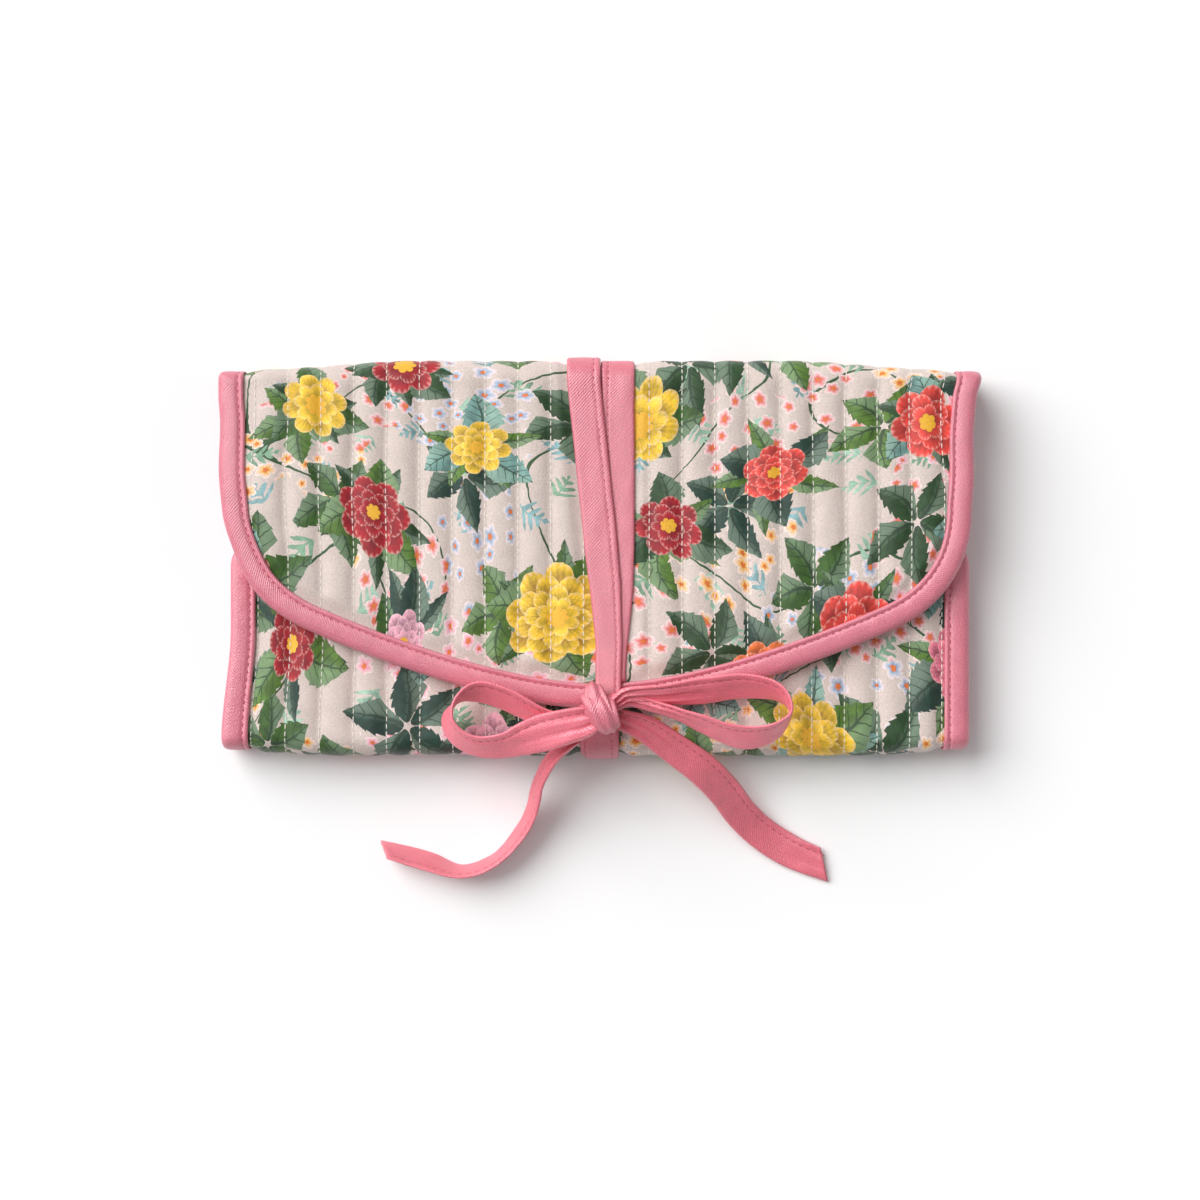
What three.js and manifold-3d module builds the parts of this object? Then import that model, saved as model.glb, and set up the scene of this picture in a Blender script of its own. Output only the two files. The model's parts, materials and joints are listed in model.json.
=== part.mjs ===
// A quilted cloth jewelry roll, folded in three and tied shut with two cloth ties in a bow.
// Millimetres, +Z up. The roll lies on its back panel, the flap's tip points to -Y.
// One continuous quilted cloth runs: front panel, bottom fold, back panel, top fold, flap.
import * as THREE from 'three';
import { mergeVertices } from 'three/addons/utils/BufferGeometryUtils.js';
import Module from 'manifold-3d';

// Driving dimensions of the folded roll
const HALF_LENGTH = 62.5; // middle of the back panel to the outer face of a fold
const HALF_WIDTH = 117; // front, bottom fold and back panel, over their bindings
const FLAP_OVERHANG = 3; // the flap and top fold are this much wider on each side
const BAY_HEIGHT = 7; // free height between the back and front linings
const FLAP_GAP = 1.6; // front panel's face to the flap's lining
const FOLD_RADIUS = 6.5; // outer radius of each bend of the cloth
const FRONT_LENGTH = 60.5; // bottom fold's outer face to the front panel's free edge, under the flap

// Layers of the cloth, as depths below the outer face
const QUILT_THICKNESS = 4.1; // printed cloth and wadding, stitched through
const LINING_THICKNESS = 0.8;
const LAYER_GAP = 0.3;
const PANEL_THICKNESS = QUILT_THICKNESS + LAYER_GAP + LINING_THICKNESS;
const CHANNEL_PITCH = 10.3; // spacing of the rows of quilting stitches
const CHANNEL_DEPTH = 1.3; // how far a row of stitches sinks below the crests
const SEAM_TOP = 2; // depth at which the quilt's flattened edge enters the binding

// Bias binding round every raw edge
const BINDING_WIDTH = 8;
const BINDING_WALL = 0.9;
const BINDING_TOP = 0.5; // depth of the binding's outer face
const BINDING_CHAMFER = 0.8;
const SEAM_MARGIN = 2.2; // raw edges stop this far inside the binding's outer edge
const BINDING_DEPTH = PANEL_THICKNESS + LAYER_GAP + BINDING_WALL - BINDING_TOP;

// Curved outline of the flap
const FLAP_LENGTH = 109.8; // top fold's outer face to the flap's tip
const FLAP_SQUARE = 6; // the flap's sides start to draw in this far below the bend
const FLAP_DRAW_IN = 3; // how far each side has drawn in where the corner starts
const FLAP_CORNER_RISE = 63.3; // start of the rounded corner, above the tip
const FLAP_SHOULDER_RISE = 24.8; // end of the rounded corner, above the tip
const FLAP_SHOULDER_INSET = 28; // end of the rounded corner, in from the side
const FLAP_CORNER_PULL = 20; // lengths of the curves' handles
const FLAP_SHOULDER_PULL = 16;
const FLAP_SWEEP_PULL = 22.5;
const FLAP_TIP_PULL = 30;
const OUTLINE_STEPS = 9;

// Cloth ties and bow
const TIE_WIDTH = 10.4;
const TIE_THICKNESS = 0.9;
const TIE_GAP = 0.2;
const TIE_BED_HALF_WIDTH = 12.4; // the ties press the quilt flat over this width
const TIE_BED_SLOPE = 0.8;
const TIE_PROUD = 1; // how far the outer tie stands out of the quilt, except on the back
const TIE_SPREAD = 5.4; // each tie's middle from the roll's middle, at the top fold
const KNOT_SET_BACK = 0.3; // middle of the knot, in from the flap's tip
const KNOT_X = 0.8; // the knot sits a little to one side
const KNOT_LENGTH = 10.8; // width of the wrapped tie, where the loops come out
const KNOT_RADIUS = 7.2;
const KNOT_HEIGHT = 10.4;
const KNOT_TURN = 0.4; // the knot lies askew, in radians

// Inner fittings
const POCKET_CLOTH = 0.7;
const POCKET_MARGIN = 5; // pockets stop this far inside the bindings
const POCKET_BEND_GAP = 2; // the zip pocket's seam stays this far off the bottom bend
const SLIP_BEND_GAP = 6; // the slip pockets' seams stay this far off the bends
const SLIP_EDGE_GAP = 12; // front slip pocket's mouth to the panel's free edge
const POCKET_TOP = 11.5; // zip pocket's upper seam, above the zip
const ZIP_BELOW_EDGE = 11; // the zip lies this far below the front panel's edge
const ZIP_INSET = 27; // each end of the zip, in from the roll's side
const ZIP_TOOTH_PITCH = 3;
const ZIP_TOOTH_LENGTH = 1.5;
const ZIP_TRACK = 1.4; // free track between the rows for the slider's post
const ZIP_TOOTH_HEIGHT = 1;
const ZIP_TAPE_WIDTH = 4.5;
const ZIP_STOP_LENGTH = 3;
const ZIP_TAPE_THICKNESS = 0.5;
const ZIP_POCKET_MOUTH = 8; // slit in the pocket cloth under the tapes
const SLIDER_LENGTH = 9;
const SLIDER_WIDTH = 7;
const SLIDER_PLATE = 0.6;
const SLIDER_PARK = 10; // the closed slider's middle, in from the zip's end
const PULL_LENGTH = 24;
const PULL_WIDTH = 5;
const PULL_THICKNESS = 0.8;
const RING_BAR_ABOVE_EDGE = 15; // the ring bar lies this far above the front panel's edge
const RING_BAR_RADIUS = 4.8;
const RING_BAR_LEFT_INSET = 37; // ends of the padded bar, in from the roll's sides
const RING_BAR_RIGHT_INSET = 47;
const RING_TAB_LENGTH = 22;
const RING_TAB_WIDTH = 13;
const SNAP_RADIUS = 5;

const FIT = 0.3; // gap between pieces that touch
const BEND_STEPS = 4; // facets in a quarter bend
const RIBBON_STEPS = 26;

const BACK_LINING_Z = PANEL_THICKNESS;
const FRONT_FACE_Z = PANEL_THICKNESS + BAY_HEIGHT + PANEL_THICKNESS;
const FLAP_FACE_Z = FRONT_FACE_Z + FLAP_GAP + PANEL_THICKNESS;
const BEND_Y = HALF_LENGTH - FOLD_RADIUS; // where the flat panels end and the bends start
const FLAP_HALF_WIDTH = HALF_WIDTH + FLAP_OVERHANG;
const FRONT_EDGE_Y = FRONT_LENGTH - HALF_LENGTH;
const FLAP_TIP_Y = HALF_LENGTH - FLAP_LENGTH;
const KNOT_Y = FLAP_TIP_Y + KNOT_SET_BACK;
const POCKET_HALF_WIDTH = HALF_WIDTH - BINDING_WIDTH - POCKET_MARGIN;
const ZIP_Y = FRONT_EDGE_Y - ZIP_BELOW_EDGE;
const ZIP_HALF_LENGTH = HALF_WIDTH - ZIP_INSET;
const SLIDER_START_X = SLIDER_PARK - ZIP_HALF_LENGTH;
const RING_BAR_Y = FRONT_EDGE_Y + RING_BAR_ABOVE_EDGE;
const RING_BAR_LEFT = RING_BAR_LEFT_INSET - HALF_WIDTH;
const RING_BAR_RIGHT = HALF_WIDTH - RING_BAR_RIGHT_INSET;

const wasm = await Module();
wasm.setup();

const roll = new THREE.Group();

// Materials
const cloth = (color) => new THREE.MeshStandardMaterial({ color, roughness: 0.9, metalness: 0 });
const metal = (color) => new THREE.MeshStandardMaterial({ color, roughness: 0.35, metalness: 1 });
const PRINT = cloth(0xf0e2d6);
const PINK = cloth(0xf08aa0);
const TIE_PINK = cloth(0xee8299);
const LINING = cloth(0xf3c9cf);
const POCKET = cloth(0xf6d8da);
const TAPE = cloth(0xe98fa2);
const BRASS = metal(0xd2aa5c);

function add(name, geometry, material) {
  const mesh = new THREE.Mesh(geometry, material);
  mesh.name = name;
  roll.add(mesh);
  return mesh;
}

// Closed solids and booleans
function signedVolume(points, triangles) {
  return triangles.reduce((sum, [a, b, c]) => {
    const normal = new THREE.Vector3().crossVectors(points[b], points[c]);
    return sum + points[a].dot(normal);
  }, 0);
}

function geometryOf(points, triangles) {
  const outward = signedVolume(points, triangles) > 0;
  const index = triangles.flatMap(([a, b, c]) => (outward ? [a, b, c] : [a, c, b]));
  const geometry = new THREE.BufferGeometry().setFromPoints(points);
  geometry.setIndex(index);
  return geometry;
}

// Joins equal rings of points into a closed tube; the section closes both ends.
function closedTube(rings, section) {
  const count = section.length;
  const triangles = [];
  for (let i = 0; i + 1 < rings.length; i += 1) {
    for (let j = 0; j < count; j += 1) {
      const a = i * count + j;
      const b = i * count + ((j + 1) % count);
      triangles.push([a, b, a + count], [b, b + count, a + count]);
    }
  }
  const last = (rings.length - 1) * count;
  for (const [a, b, c] of THREE.ShapeUtils.triangulateShape(section, [])) {
    const turned = THREE.ShapeUtils.isClockWise(section) ? [a, b, c] : [a, c, b];
    const [p, q, r] = turned;
    triangles.push([p, q, r], [last + p, last + r, last + q]);
  }
  return geometryOf(rings.flat(), triangles);
}

function solidOf(geometry) {
  const bare = geometry.clone();
  bare.deleteAttribute('normal');
  bare.deleteAttribute('uv');
  const merged = mergeVertices(bare, 1e-4);
  const mesh = new wasm.Mesh({
    numProp: 3,
    vertProperties: new Float32Array(merged.attributes.position.array),
    triVerts: new Uint32Array(merged.index.array),
  });
  return new wasm.Manifold(mesh);
}

function geometryFrom(solid) {
  const mesh = solid.getMesh();
  const geometry = new THREE.BufferGeometry();
  geometry.setAttribute('position', new THREE.BufferAttribute(mesh.vertProperties, 3));
  geometry.setIndex(new THREE.BufferAttribute(mesh.triVerts, 1));
  return geometry;
}

// A flat outline in XY, extruded from one height up to another.
function prism(points, low, high, chamfer = 0) {
  const geometry = new THREE.ExtrudeGeometry(new THREE.Shape(points), {
    depth: high - low - 2 * chamfer,
    bevelEnabled: chamfer > 0,
    bevelThickness: chamfer,
    bevelSize: chamfer,
    bevelOffset: -chamfer,
    bevelSegments: 1,
  });
  return geometry.translate(0, 0, low + chamfer);
}

function block(x0, x1, y0, y1, z0, z1) {
  const box = new THREE.BoxGeometry(x1 - x0, y1 - y0, z1 - z0);
  return box.translate((x0 + x1) / 2, (y0 + y1) / 2, (z0 + z1) / 2);
}

// The outer face of the folded cloth, seen from the side: stretches in the YZ plane
const v2 = (y, z) => new THREE.Vector2(y, z);

function straight(from, to, inward) {
  const length = from.distanceTo(to);
  return { length, steps: 1, at: (d) => ({ point: from.clone().lerp(to, d / length), inward }) };
}

function bend(centre, startAngle) {
  const at = (d) => {
    const angle = startAngle + d / FOLD_RADIUS;
    const out = v2(Math.cos(angle), Math.sin(angle));
    return { point: centre.clone().addScaledVector(out, FOLD_RADIUS), inward: out.clone().negate() };
  };
  return { length: FOLD_RADIUS * Math.PI / 2, steps: BEND_STEPS, at };
}

const RIGHT_ANGLE = Math.PI / 2;
const FRONT_TURN_Z = FRONT_FACE_Z - FOLD_RADIUS;
const FLAP_TURN_Z = FLAP_FACE_Z - FOLD_RADIUS;
const stretches = [
  straight(v2(FRONT_EDGE_Y, FRONT_FACE_Z), v2(-BEND_Y, FRONT_FACE_Z), v2(0, -1)),
  bend(v2(-BEND_Y, FRONT_TURN_Z), RIGHT_ANGLE),
  straight(v2(-HALF_LENGTH, FRONT_TURN_Z), v2(-HALF_LENGTH, FOLD_RADIUS), v2(1, 0)),
  bend(v2(-BEND_Y, FOLD_RADIUS), 2 * RIGHT_ANGLE),
  straight(v2(-BEND_Y, 0), v2(BEND_Y, 0), v2(0, 1)),
  bend(v2(BEND_Y, FOLD_RADIUS), 3 * RIGHT_ANGLE),
  straight(v2(HALF_LENGTH, FOLD_RADIUS), v2(HALF_LENGTH, FLAP_TURN_Z), v2(-1, 0)),
  bend(v2(BEND_Y, FLAP_TURN_Z), 4 * RIGHT_ANGLE),
  straight(v2(BEND_Y, FLAP_FACE_Z), v2(FLAP_TIP_Y, FLAP_FACE_Z), v2(0, -1)),
];
const starts = [];
let reached = 0;
for (const stretch of stretches) {
  starts.push(reached);
  reached += stretch.length;
}
const PATH_LENGTH = reached;

function frameAt(s) {
  let i = stretches.length - 1;
  while (i > 0 && starts[i] > s) i -= 1;
  return stretches[i].at(s - starts[i]);
}

function stationsBetween(from, to) {
  const inner = stretches.flatMap((stretch, i) =>
    Array.from({ length: stretch.steps }, (_, k) => starts[i] + (stretch.length * k) / stretch.steps));
  const closest = 0.01;
  return [from, ...inner.filter((s) => s > from + closest && s < to - closest), to];
}

// Carries a section of (x, depth) points along the folded cloth.
function alongCloth(section, from, to, shift = () => 0) {
  const rings = stationsBetween(from, to).map((s) => {
    const { point, inward } = frameAt(s);
    return section.map((p) => new THREE.Vector3(
      p.x + shift(s), point.x + inward.x * p.y, point.y + inward.y * p.y));
  });
  return closedTube(rings, section);
}

// The cloth is hinged at the middle of each bend; every body keeps half the joint gap clear.
const BEND_HALF = stretches[1].length / 2;
const joints = [1, 3, 5, 7].map((i) => starts[i] + BEND_HALF);
const clear = FIT / 2;
const spans = {
  front: [0, joints[0] - clear],
  bottom_fold: [joints[0] + clear, joints[1] - clear],
  back: [joints[1] + clear, joints[2] - clear],
  top_fold: [joints[2] + clear, joints[3] - clear],
  flap: [joints[3] + clear, PATH_LENGTH],
};
const halfWidths = {
  front: HALF_WIDTH,
  bottom_fold: HALF_WIDTH,
  back: HALF_WIDTH,
  top_fold: FLAP_HALF_WIDTH,
  flap: FLAP_HALF_WIDTH,
};
const TIE_STACK = 2 * TIE_THICKNESS + 2 * TIE_GAP;
const bedDepth = (body) => (body === 'back' ? TIE_STACK : TIE_STACK - TIE_PROUD);

// Quilted cloth: crests between rows of stitches, pressed flat under the ties
function channelDepth(x) {
  const fromCrest = Math.abs(x / CHANNEL_PITCH - Math.round(x / CHANNEL_PITCH));
  const share = Math.max(0, (fromCrest - 1 / 6) * 3);
  return share * CHANNEL_DEPTH;
}

function quiltSection(halfWidth, bed) {
  const edge = halfWidth - BINDING_WIDTH - FIT;
  const bedEdge = TIE_BED_HALF_WIDTH + TIE_BED_SLOPE;
  const side = [];
  for (let k = 0; k * CHANNEL_PITCH < edge + CHANNEL_PITCH; k += 1) {
    for (const share of [-1 / 2, -1 / 6, 1 / 6]) {
      const x = (k + share) * CHANNEL_PITCH;
      if (x > bedEdge + FIT && x < edge - FIT) side.push(v2(x, channelDepth(x)));
    }
  }
  const right = [v2(TIE_BED_HALF_WIDTH, bed), v2(bedEdge, channelDepth(bedEdge)), ...side,
    v2(edge, channelDepth(edge)), v2(edge, QUILT_THICKNESS)];
  const mirrored = right.map((p) => v2(-p.x, p.y)).reverse();
  return [...mirrored, ...right];
}

function plateSection(halfWidth, top, thickness) {
  return [v2(-halfWidth, top), v2(halfWidth, top),
    v2(halfWidth, top + thickness), v2(-halfWidth, top + thickness)];
}

// The quilt with its flattened edge, the seam allowance that the binding holds
function quilt(body) {
  const [from, to] = spans[body];
  const halfWidth = halfWidths[body];
  const crowned = solidOf(alongCloth(quiltSection(halfWidth, bedDepth(body)), from, to));
  const seam = plateSection(halfWidth - SEAM_MARGIN, SEAM_TOP, QUILT_THICKNESS - SEAM_TOP);
  return { crowned, seam: solidOf(alongCloth(seam, from, to)) };
}

function lining(body) {
  const section = plateSection(
    halfWidths[body] - SEAM_MARGIN, QUILT_THICKNESS + LAYER_GAP, LINING_THICKNESS);
  return solidOf(alongCloth(section, ...spans[body]));
}

// Binding section: a folded strip that wraps the raw edge on the +X side
function bindingSection(halfWidth) {
  const inner = halfWidth - BINDING_WIDTH;
  const slotEnd = halfWidth - SEAM_MARGIN + FIT;
  const top = BINDING_TOP;
  const bottom = BINDING_TOP + BINDING_DEPTH;
  const c = BINDING_CHAMFER;
  return [
    v2(inner, top + c / 2), v2(inner + c, top), v2(halfWidth - c, top), v2(halfWidth, top + 2 * c),
    v2(halfWidth, bottom - 2 * c), v2(halfWidth - c, bottom), v2(inner + c, bottom),
    v2(inner, bottom - c / 2), v2(inner, bottom - BINDING_WALL), v2(slotEnd, bottom - BINDING_WALL),
    v2(slotEnd, top + BINDING_WALL), v2(inner, top + BINDING_WALL),
  ];
}

const mirrorX = (section) => section.map((p) => v2(-p.x, p.y)).reverse();

function addSideBindings(body) {
  const section = bindingSection(halfWidths[body]);
  add(`${body}_binding_right`, alongCloth(section, ...spans[body]), PINK);
  add(`${body}_binding_left`, alongCloth(mirrorX(section), ...spans[body]), PINK);
}

// Outlines in plan, drawn in from the outer edge by an inset; they run past the bend at the top
function flapOutline(inset, topY) {
  const p = (x, y) => new THREE.Vector2(x, y);
  const side = p(FLAP_HALF_WIDTH - FLAP_DRAW_IN, FLAP_TIP_Y + FLAP_CORNER_RISE);
  const shoulder = p(FLAP_HALF_WIDTH - FLAP_SHOULDER_INSET, FLAP_TIP_Y + FLAP_SHOULDER_RISE);
  const tip = p(0, FLAP_TIP_Y);
  const slope = p(FLAP_SHOULDER_INSET, FLAP_SHOULDER_RISE / 2).normalize();
  const corner = new THREE.CubicBezierCurve(side, p(side.x, side.y - FLAP_CORNER_PULL),
    shoulder.clone().addScaledVector(slope, FLAP_SHOULDER_PULL), shoulder);
  const sweep = new THREE.CubicBezierCurve(shoulder,
    shoulder.clone().addScaledVector(slope, -FLAP_SWEEP_PULL), p(FLAP_TIP_PULL, FLAP_TIP_Y), tip);
  const right = [p(FLAP_HALF_WIDTH, topY), p(FLAP_HALF_WIDTH, BEND_Y - FLAP_SQUARE),
    ...corner.getPoints(OUTLINE_STEPS), ...sweep.getPoints(OUTLINE_STEPS).slice(1)];
  return insetOutline(mirroredOutline(right), inset);
}

function frontOutline(inset, lowY) {
  const p = (x, y) => new THREE.Vector2(x, y);
  const right = [p(HALF_WIDTH, lowY), p(HALF_WIDTH, FRONT_EDGE_Y), p(0, FRONT_EDGE_Y)];
  return insetOutline(mirroredOutline(right), inset);
}

function mirroredOutline(right) {
  return [...right, ...right.slice(0, -1).reverse().map((p) => new THREE.Vector2(-p.x, p.y))];
}

// Moves every point of an open outline inwards; the two open ends keep their height.
function insetOutline(points, inset) {
  const clockwise = THREE.ShapeUtils.isClockWise(points);
  return points.map((p, i) => {
    if (i === 0 || i === points.length - 1) return new THREE.Vector2(p.x - Math.sign(p.x) * inset, p.y);
    const before = p.clone().sub(points[i - 1]).normalize();
    const after = points[i + 1].clone().sub(p).normalize();
    const along = before.clone().add(after).normalize();
    const normal = new THREE.Vector2(along.y, -along.x).multiplyScalar(clockwise ? 1 : -1);
    return p.clone().addScaledVector(normal, inset / along.dot(after));
  });
}

// Binding round the free end of the front panel or flap: a slotted rim plus its two bent ends
function endBinding(body, outline, faceZ, bendFrom, bendTo) {
  const endY = outline(0)[0].y;
  const low = faceZ - BINDING_TOP - BINDING_DEPTH;
  const high = faceZ - BINDING_TOP;
  const outer = solidOf(prism(outline(0), low, high, BINDING_CHAMFER));
  const opening = solidOf(prism(outline(BINDING_WIDTH), low - 1, high + 1));
  const slot = solidOf(prism(outline(SEAM_MARGIN - FIT), low + BINDING_WALL, high - BINDING_WALL));
  const pastEnd = (p) => new THREE.Vector2(p.x, p.y === endY ? p.y + Math.sign(endY) * BINDING_WIDTH : p.y);
  const past = solidOf(prism(outline(BINDING_WIDTH).map(pastEnd), low - 1, high + 1));
  const rim = outer.subtract(opening).subtract(slot).subtract(past);
  const section = bindingSection(halfWidths[body]);
  const right = solidOf(alongCloth(section, bendFrom, bendTo));
  const left = solidOf(alongCloth(mirrorX(section), bendFrom, bendTo));
  return geometryFrom(rim.add(right).add(left));
}

// Back panel and folds
for (const body of ['back', 'bottom_fold', 'top_fold']) {
  const { crowned, seam } = quilt(body);
  add(`${body}_quilt`, geometryFrom(crowned.add(seam)), PRINT);
  add(`${body}_lining`, geometryFrom(lining(body)), LINING);
  addSideBindings(body);
}

// Front panel and flap: quilt and lining trimmed to the outline, then bound
const PLAN_HEIGHT = 2 * FLAP_FACE_Z;
const BEND_LAP = 2; // the rim and its bent ends share this length

function addEndPanel(body, outline, faceZ, bendFrom, bendTo, farY) {
  const trim = (inset) => solidOf(prism(outline(inset, farY), -1, PLAN_HEIGHT));
  const { crowned, seam } = quilt(body);
  const face = crowned.intersect(trim(BINDING_WIDTH + FIT));
  add(`${body}_quilt`, geometryFrom(face.add(seam.intersect(trim(SEAM_MARGIN)))), PRINT);
  add(`${body}_lining`, geometryFrom(lining(body).intersect(trim(SEAM_MARGIN))), LINING);
  const nearY = Math.sign(farY) * BEND_Y;
  add(`${body}_binding`, endBinding(body, (inset) => outline(inset, nearY), faceZ, bendFrom, bendTo), PINK);
}

const FAR = 2 * HALF_LENGTH;
addEndPanel('front', frontOutline, FRONT_FACE_Z, starts[1] - BEND_LAP, spans.front[1], -FAR);
addEndPanel('flap', flapOutline, FLAP_FACE_Z, spans.flap[0], starts[8] + BEND_LAP, FAR);

// Two cloth ties round the roll, one over the other, side by side at the top fold
const KNOT_TOP_Y = KNOT_Y + KNOT_RADIUS;
const KNOT_LOW_Y = KNOT_Y - KNOT_RADIUS;
const tieLow = starts[0] + (FRONT_EDGE_Y - KNOT_LOW_Y) + FIT;
const tieHigh = starts[8] + (BEND_Y - Math.max(KNOT_TOP_Y, FLAP_TIP_Y + BINDING_WIDTH)) - 2 * FIT;
const tieUnderKnot = starts[8] + (BEND_Y - KNOT_Y) - 1; // the knot sits on the outer tie
const tieSpans = { ...spans, front: [tieLow, spans.front[1]], flap: [spans.flap[0], tieHigh] };
const mix = THREE.MathUtils.mapLinear;

function tieShift(lowX, topX, knotX) {
  return (s) => {
    if (s < starts[4]) return lowX;
    if (s < starts[5]) return mix(s, starts[4], starts[5], lowX, topX);
    if (s < starts[8]) return topX;
    return mix(Math.min(s, tieHigh), starts[8], tieHigh, topX, knotX);
  };
}

const ties = [
  { name: 'tie_outer', layer: 0, shift: tieShift(0.6, -TIE_SPREAD, 2.6) },
  { name: 'tie_inner', layer: 1, shift: tieShift(-0.8, TIE_SPREAD, 4) },
];
for (const { name, layer, shift } of ties) {
  for (const [body, span] of Object.entries(tieSpans)) {
    const proud = body === 'back' ? 0 : TIE_PROUD;
    const top = layer * (TIE_THICKNESS + TIE_GAP) - proud;
    const section = plateSection(TIE_WIDTH / 2, top, TIE_THICKNESS);
    const end = body === 'flap' && layer === 0 ? tieUnderKnot : span[1];
    add(`${name}_${body}`, alongCloth(section, span[0], end, shift), TIE_PINK);
  }
}

// The bow: knot, two loops and two tails, each a flat strip of cloth
const TIE_FACE_Z = FLAP_FACE_Z + TIE_PROUD;
const KNOT_Z = TIE_FACE_Z + KNOT_HEIGHT / 2 + FIT;

function knot() {
  const end = 0.7; // the knot's ends are this share of its middle
  const profile = new THREE.CubicBezierCurve(
    new THREE.Vector2(KNOT_RADIUS * end, -KNOT_LENGTH / 2),
    new THREE.Vector2(KNOT_RADIUS * 1.1, -KNOT_LENGTH / 4),
    new THREE.Vector2(KNOT_RADIUS * 1.1, KNOT_LENGTH / 4),
    new THREE.Vector2(KNOT_RADIUS * end, KNOT_LENGTH / 2));
  const points = [v2(0, -KNOT_LENGTH / 2), ...profile.getPoints(6), v2(0, KNOT_LENGTH / 2)];
  const shape = new THREE.LatheGeometry(points, 18);
  shape.rotateZ(-RIGHT_ANGLE);
  shape.scale(1, 1, KNOT_HEIGHT / (2 * KNOT_RADIUS));
  shape.rotateZ(KNOT_TURN);
  return shape.translate(KNOT_X, KNOT_Y, KNOT_Z);
}
add('bow_knot', geometryFrom(solidOf(knot())), TIE_PINK);

// A strip of cloth along a smooth route. Each stop is (x, y, z, lean, share of the full width): a lean of
// 0 lays the strip flat, a quarter turn stands it on edge with its top towards the left of its way.
function strip(stops) {
  const route = new THREE.CatmullRomCurve3(stops.map(([x, y, z]) => new THREE.Vector3(x, y, z)));
  const section = plateSection(TIE_WIDTH / 2, -TIE_THICKNESS / 2, TIE_THICKNESS);
  const rings = [];
  for (let i = 0; i <= RIBBON_STEPS; i += 1) {
    const t = i / RIBBON_STEPS;
    const place = t * (stops.length - 1);
    const k = Math.min(Math.floor(place), stops.length - 2);
    const [lean, share] = [3, 4].map((j) => THREE.MathUtils.lerp(stops[k][j], stops[k + 1][j], place - k));
    const along = route.getTangent(t);
    const level = new THREE.Vector3(-along.y, along.x, 0).normalize();
    const up = new THREE.Vector3().crossVectors(along, level).normalize();
    const across = level.clone().multiplyScalar(Math.cos(lean)).addScaledVector(up, Math.sin(lean));
    const face = new THREE.Vector3().crossVectors(along, across).normalize();
    const middle = route.getPoint(t);
    rings.push(section.map((p) => middle.clone()
      .addScaledVector(across, p.x * share).addScaledVector(face, p.y)));
  }
  return closedTube(rings, section);
}

// A stop at one end of the knot, a little out from it, with the offsets across and up from its middle.
function atKnot(side, out, across, up, lean, share) {
  const end = new THREE.Vector3(side * (KNOT_LENGTH / 2 + out), across, 0);
  end.applyAxisAngle(new THREE.Vector3(0, 0, 1), KNOT_TURN);
  return [KNOT_X + end.x, KNOT_Y + end.y, KNOT_Z + up, lean, share];
}

// A stop by its distance from the knot's middle and its height over the flap's face
function byKnot(x, y, rise, lean, share) {
  return [x, KNOT_Y + y, FLAP_FACE_Z + rise, lean, share];
}

// A stop past the bottom fold, by its distance out from the fold and its height over the floor
function pastFold(x, out, height, lean, share) {
  return [x, -HALF_LENGTH - out, height, lean, share];
}

const LEAD = 3; // the loops leave the knot squarely over this length
add('bow_loop_left', strip([
  atKnot(-1, FIT, 2, -1.6, 2.5, 0.5), atKnot(-1, LEAD, 2, -1.6, 2.5, 0.6),
  byKnot(-17, -0.4, 4, 2.45, 0.85), byKnot(-25.5, 1.6, 4.6, 2.36, 1), byKnot(-33.7, 4.8, 5, 2.3, 1),
  byKnot(-41.4, 4.6, 5, 2.1, 1), byKnot(-47, -2.4, 4.6, 1.55, 1), byKnot(-44, -9, 4.4, 1.1, 1),
  byKnot(-37, -12.2, 4.6, 0.85, 1), byKnot(-28.5, -11.2, 6, 0.55, 1), byKnot(-20, -8.2, 8.2, 0.4, 1),
  atKnot(-1, LEAD, -0.4, 2, 0.35, 0.75), atKnot(-1, FIT, -0.4, 2, 0.35, 0.65)]), TIE_PINK);
add('bow_loop_right', strip([
  atKnot(1, FIT, -0.6, -1.4, 0.9, 0.5), atKnot(1, LEAD, -0.8, -1.4, 0.9, 0.55),
  byKnot(16.5, 0.8, 4.4, 1, 0.65), byKnot(24, -1.4, 4.3, 1.1, 0.8), byKnot(31.5, -4.5, 4.2, 1, 0.95),
  byKnot(39.5, -7.7, 4, 0.85, 1), byKnot(47, -8.9, 4, 0.75, 1), byKnot(54, -6.4, 4.4, 1.1, 1),
  byKnot(57.6, -1, 4.8, 1.55, 1), byKnot(54, 4, 5, 2.1, 1), byKnot(44, 6.3, 5.2, 2.45, 1),
  byKnot(33.8, 5.2, 5.6, 2.5, 1), byKnot(21, 4.6, 7, 2.45, 0.85),
  atKnot(1, LEAD, 1.6, 2.2, 2.4, 0.55), atKnot(1, FIT, 1.4, 2.2, 2.4, 0.5)]), TIE_PINK);
add('bow_tail_left', strip([
  byKnot(-2.2, -7.3, 3.9, 0.2, 0.45), byKnot(-6.6, -10.4, 2.8, 0.6, 0.5), byKnot(-11.6, -13.6, 0.6, 1.1, 0.6),
  pastFold(-16.2, 2.2, FLAP_FACE_Z - 3.2, 1.35, 0.7), pastFold(-18.8, 7.4, 16, 1.4, 0.8),
  pastFold(-20.4, 12.6, 11.6, 1.35, 0.9), pastFold(-22, 18, 8.2, 1.1, 1), pastFold(-24.6, 23.8, 6.4, 1, 1),
  pastFold(-33, 33.2, 5.6, 1.2, 1), pastFold(-44, 37.4, 5.2, 1.15, 1), pastFold(-56, 33.8, 4.8, 1.05, 1),
  pastFold(-70, 30, 4.4, 0.95, 0.8)]), TIE_PINK);
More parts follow.
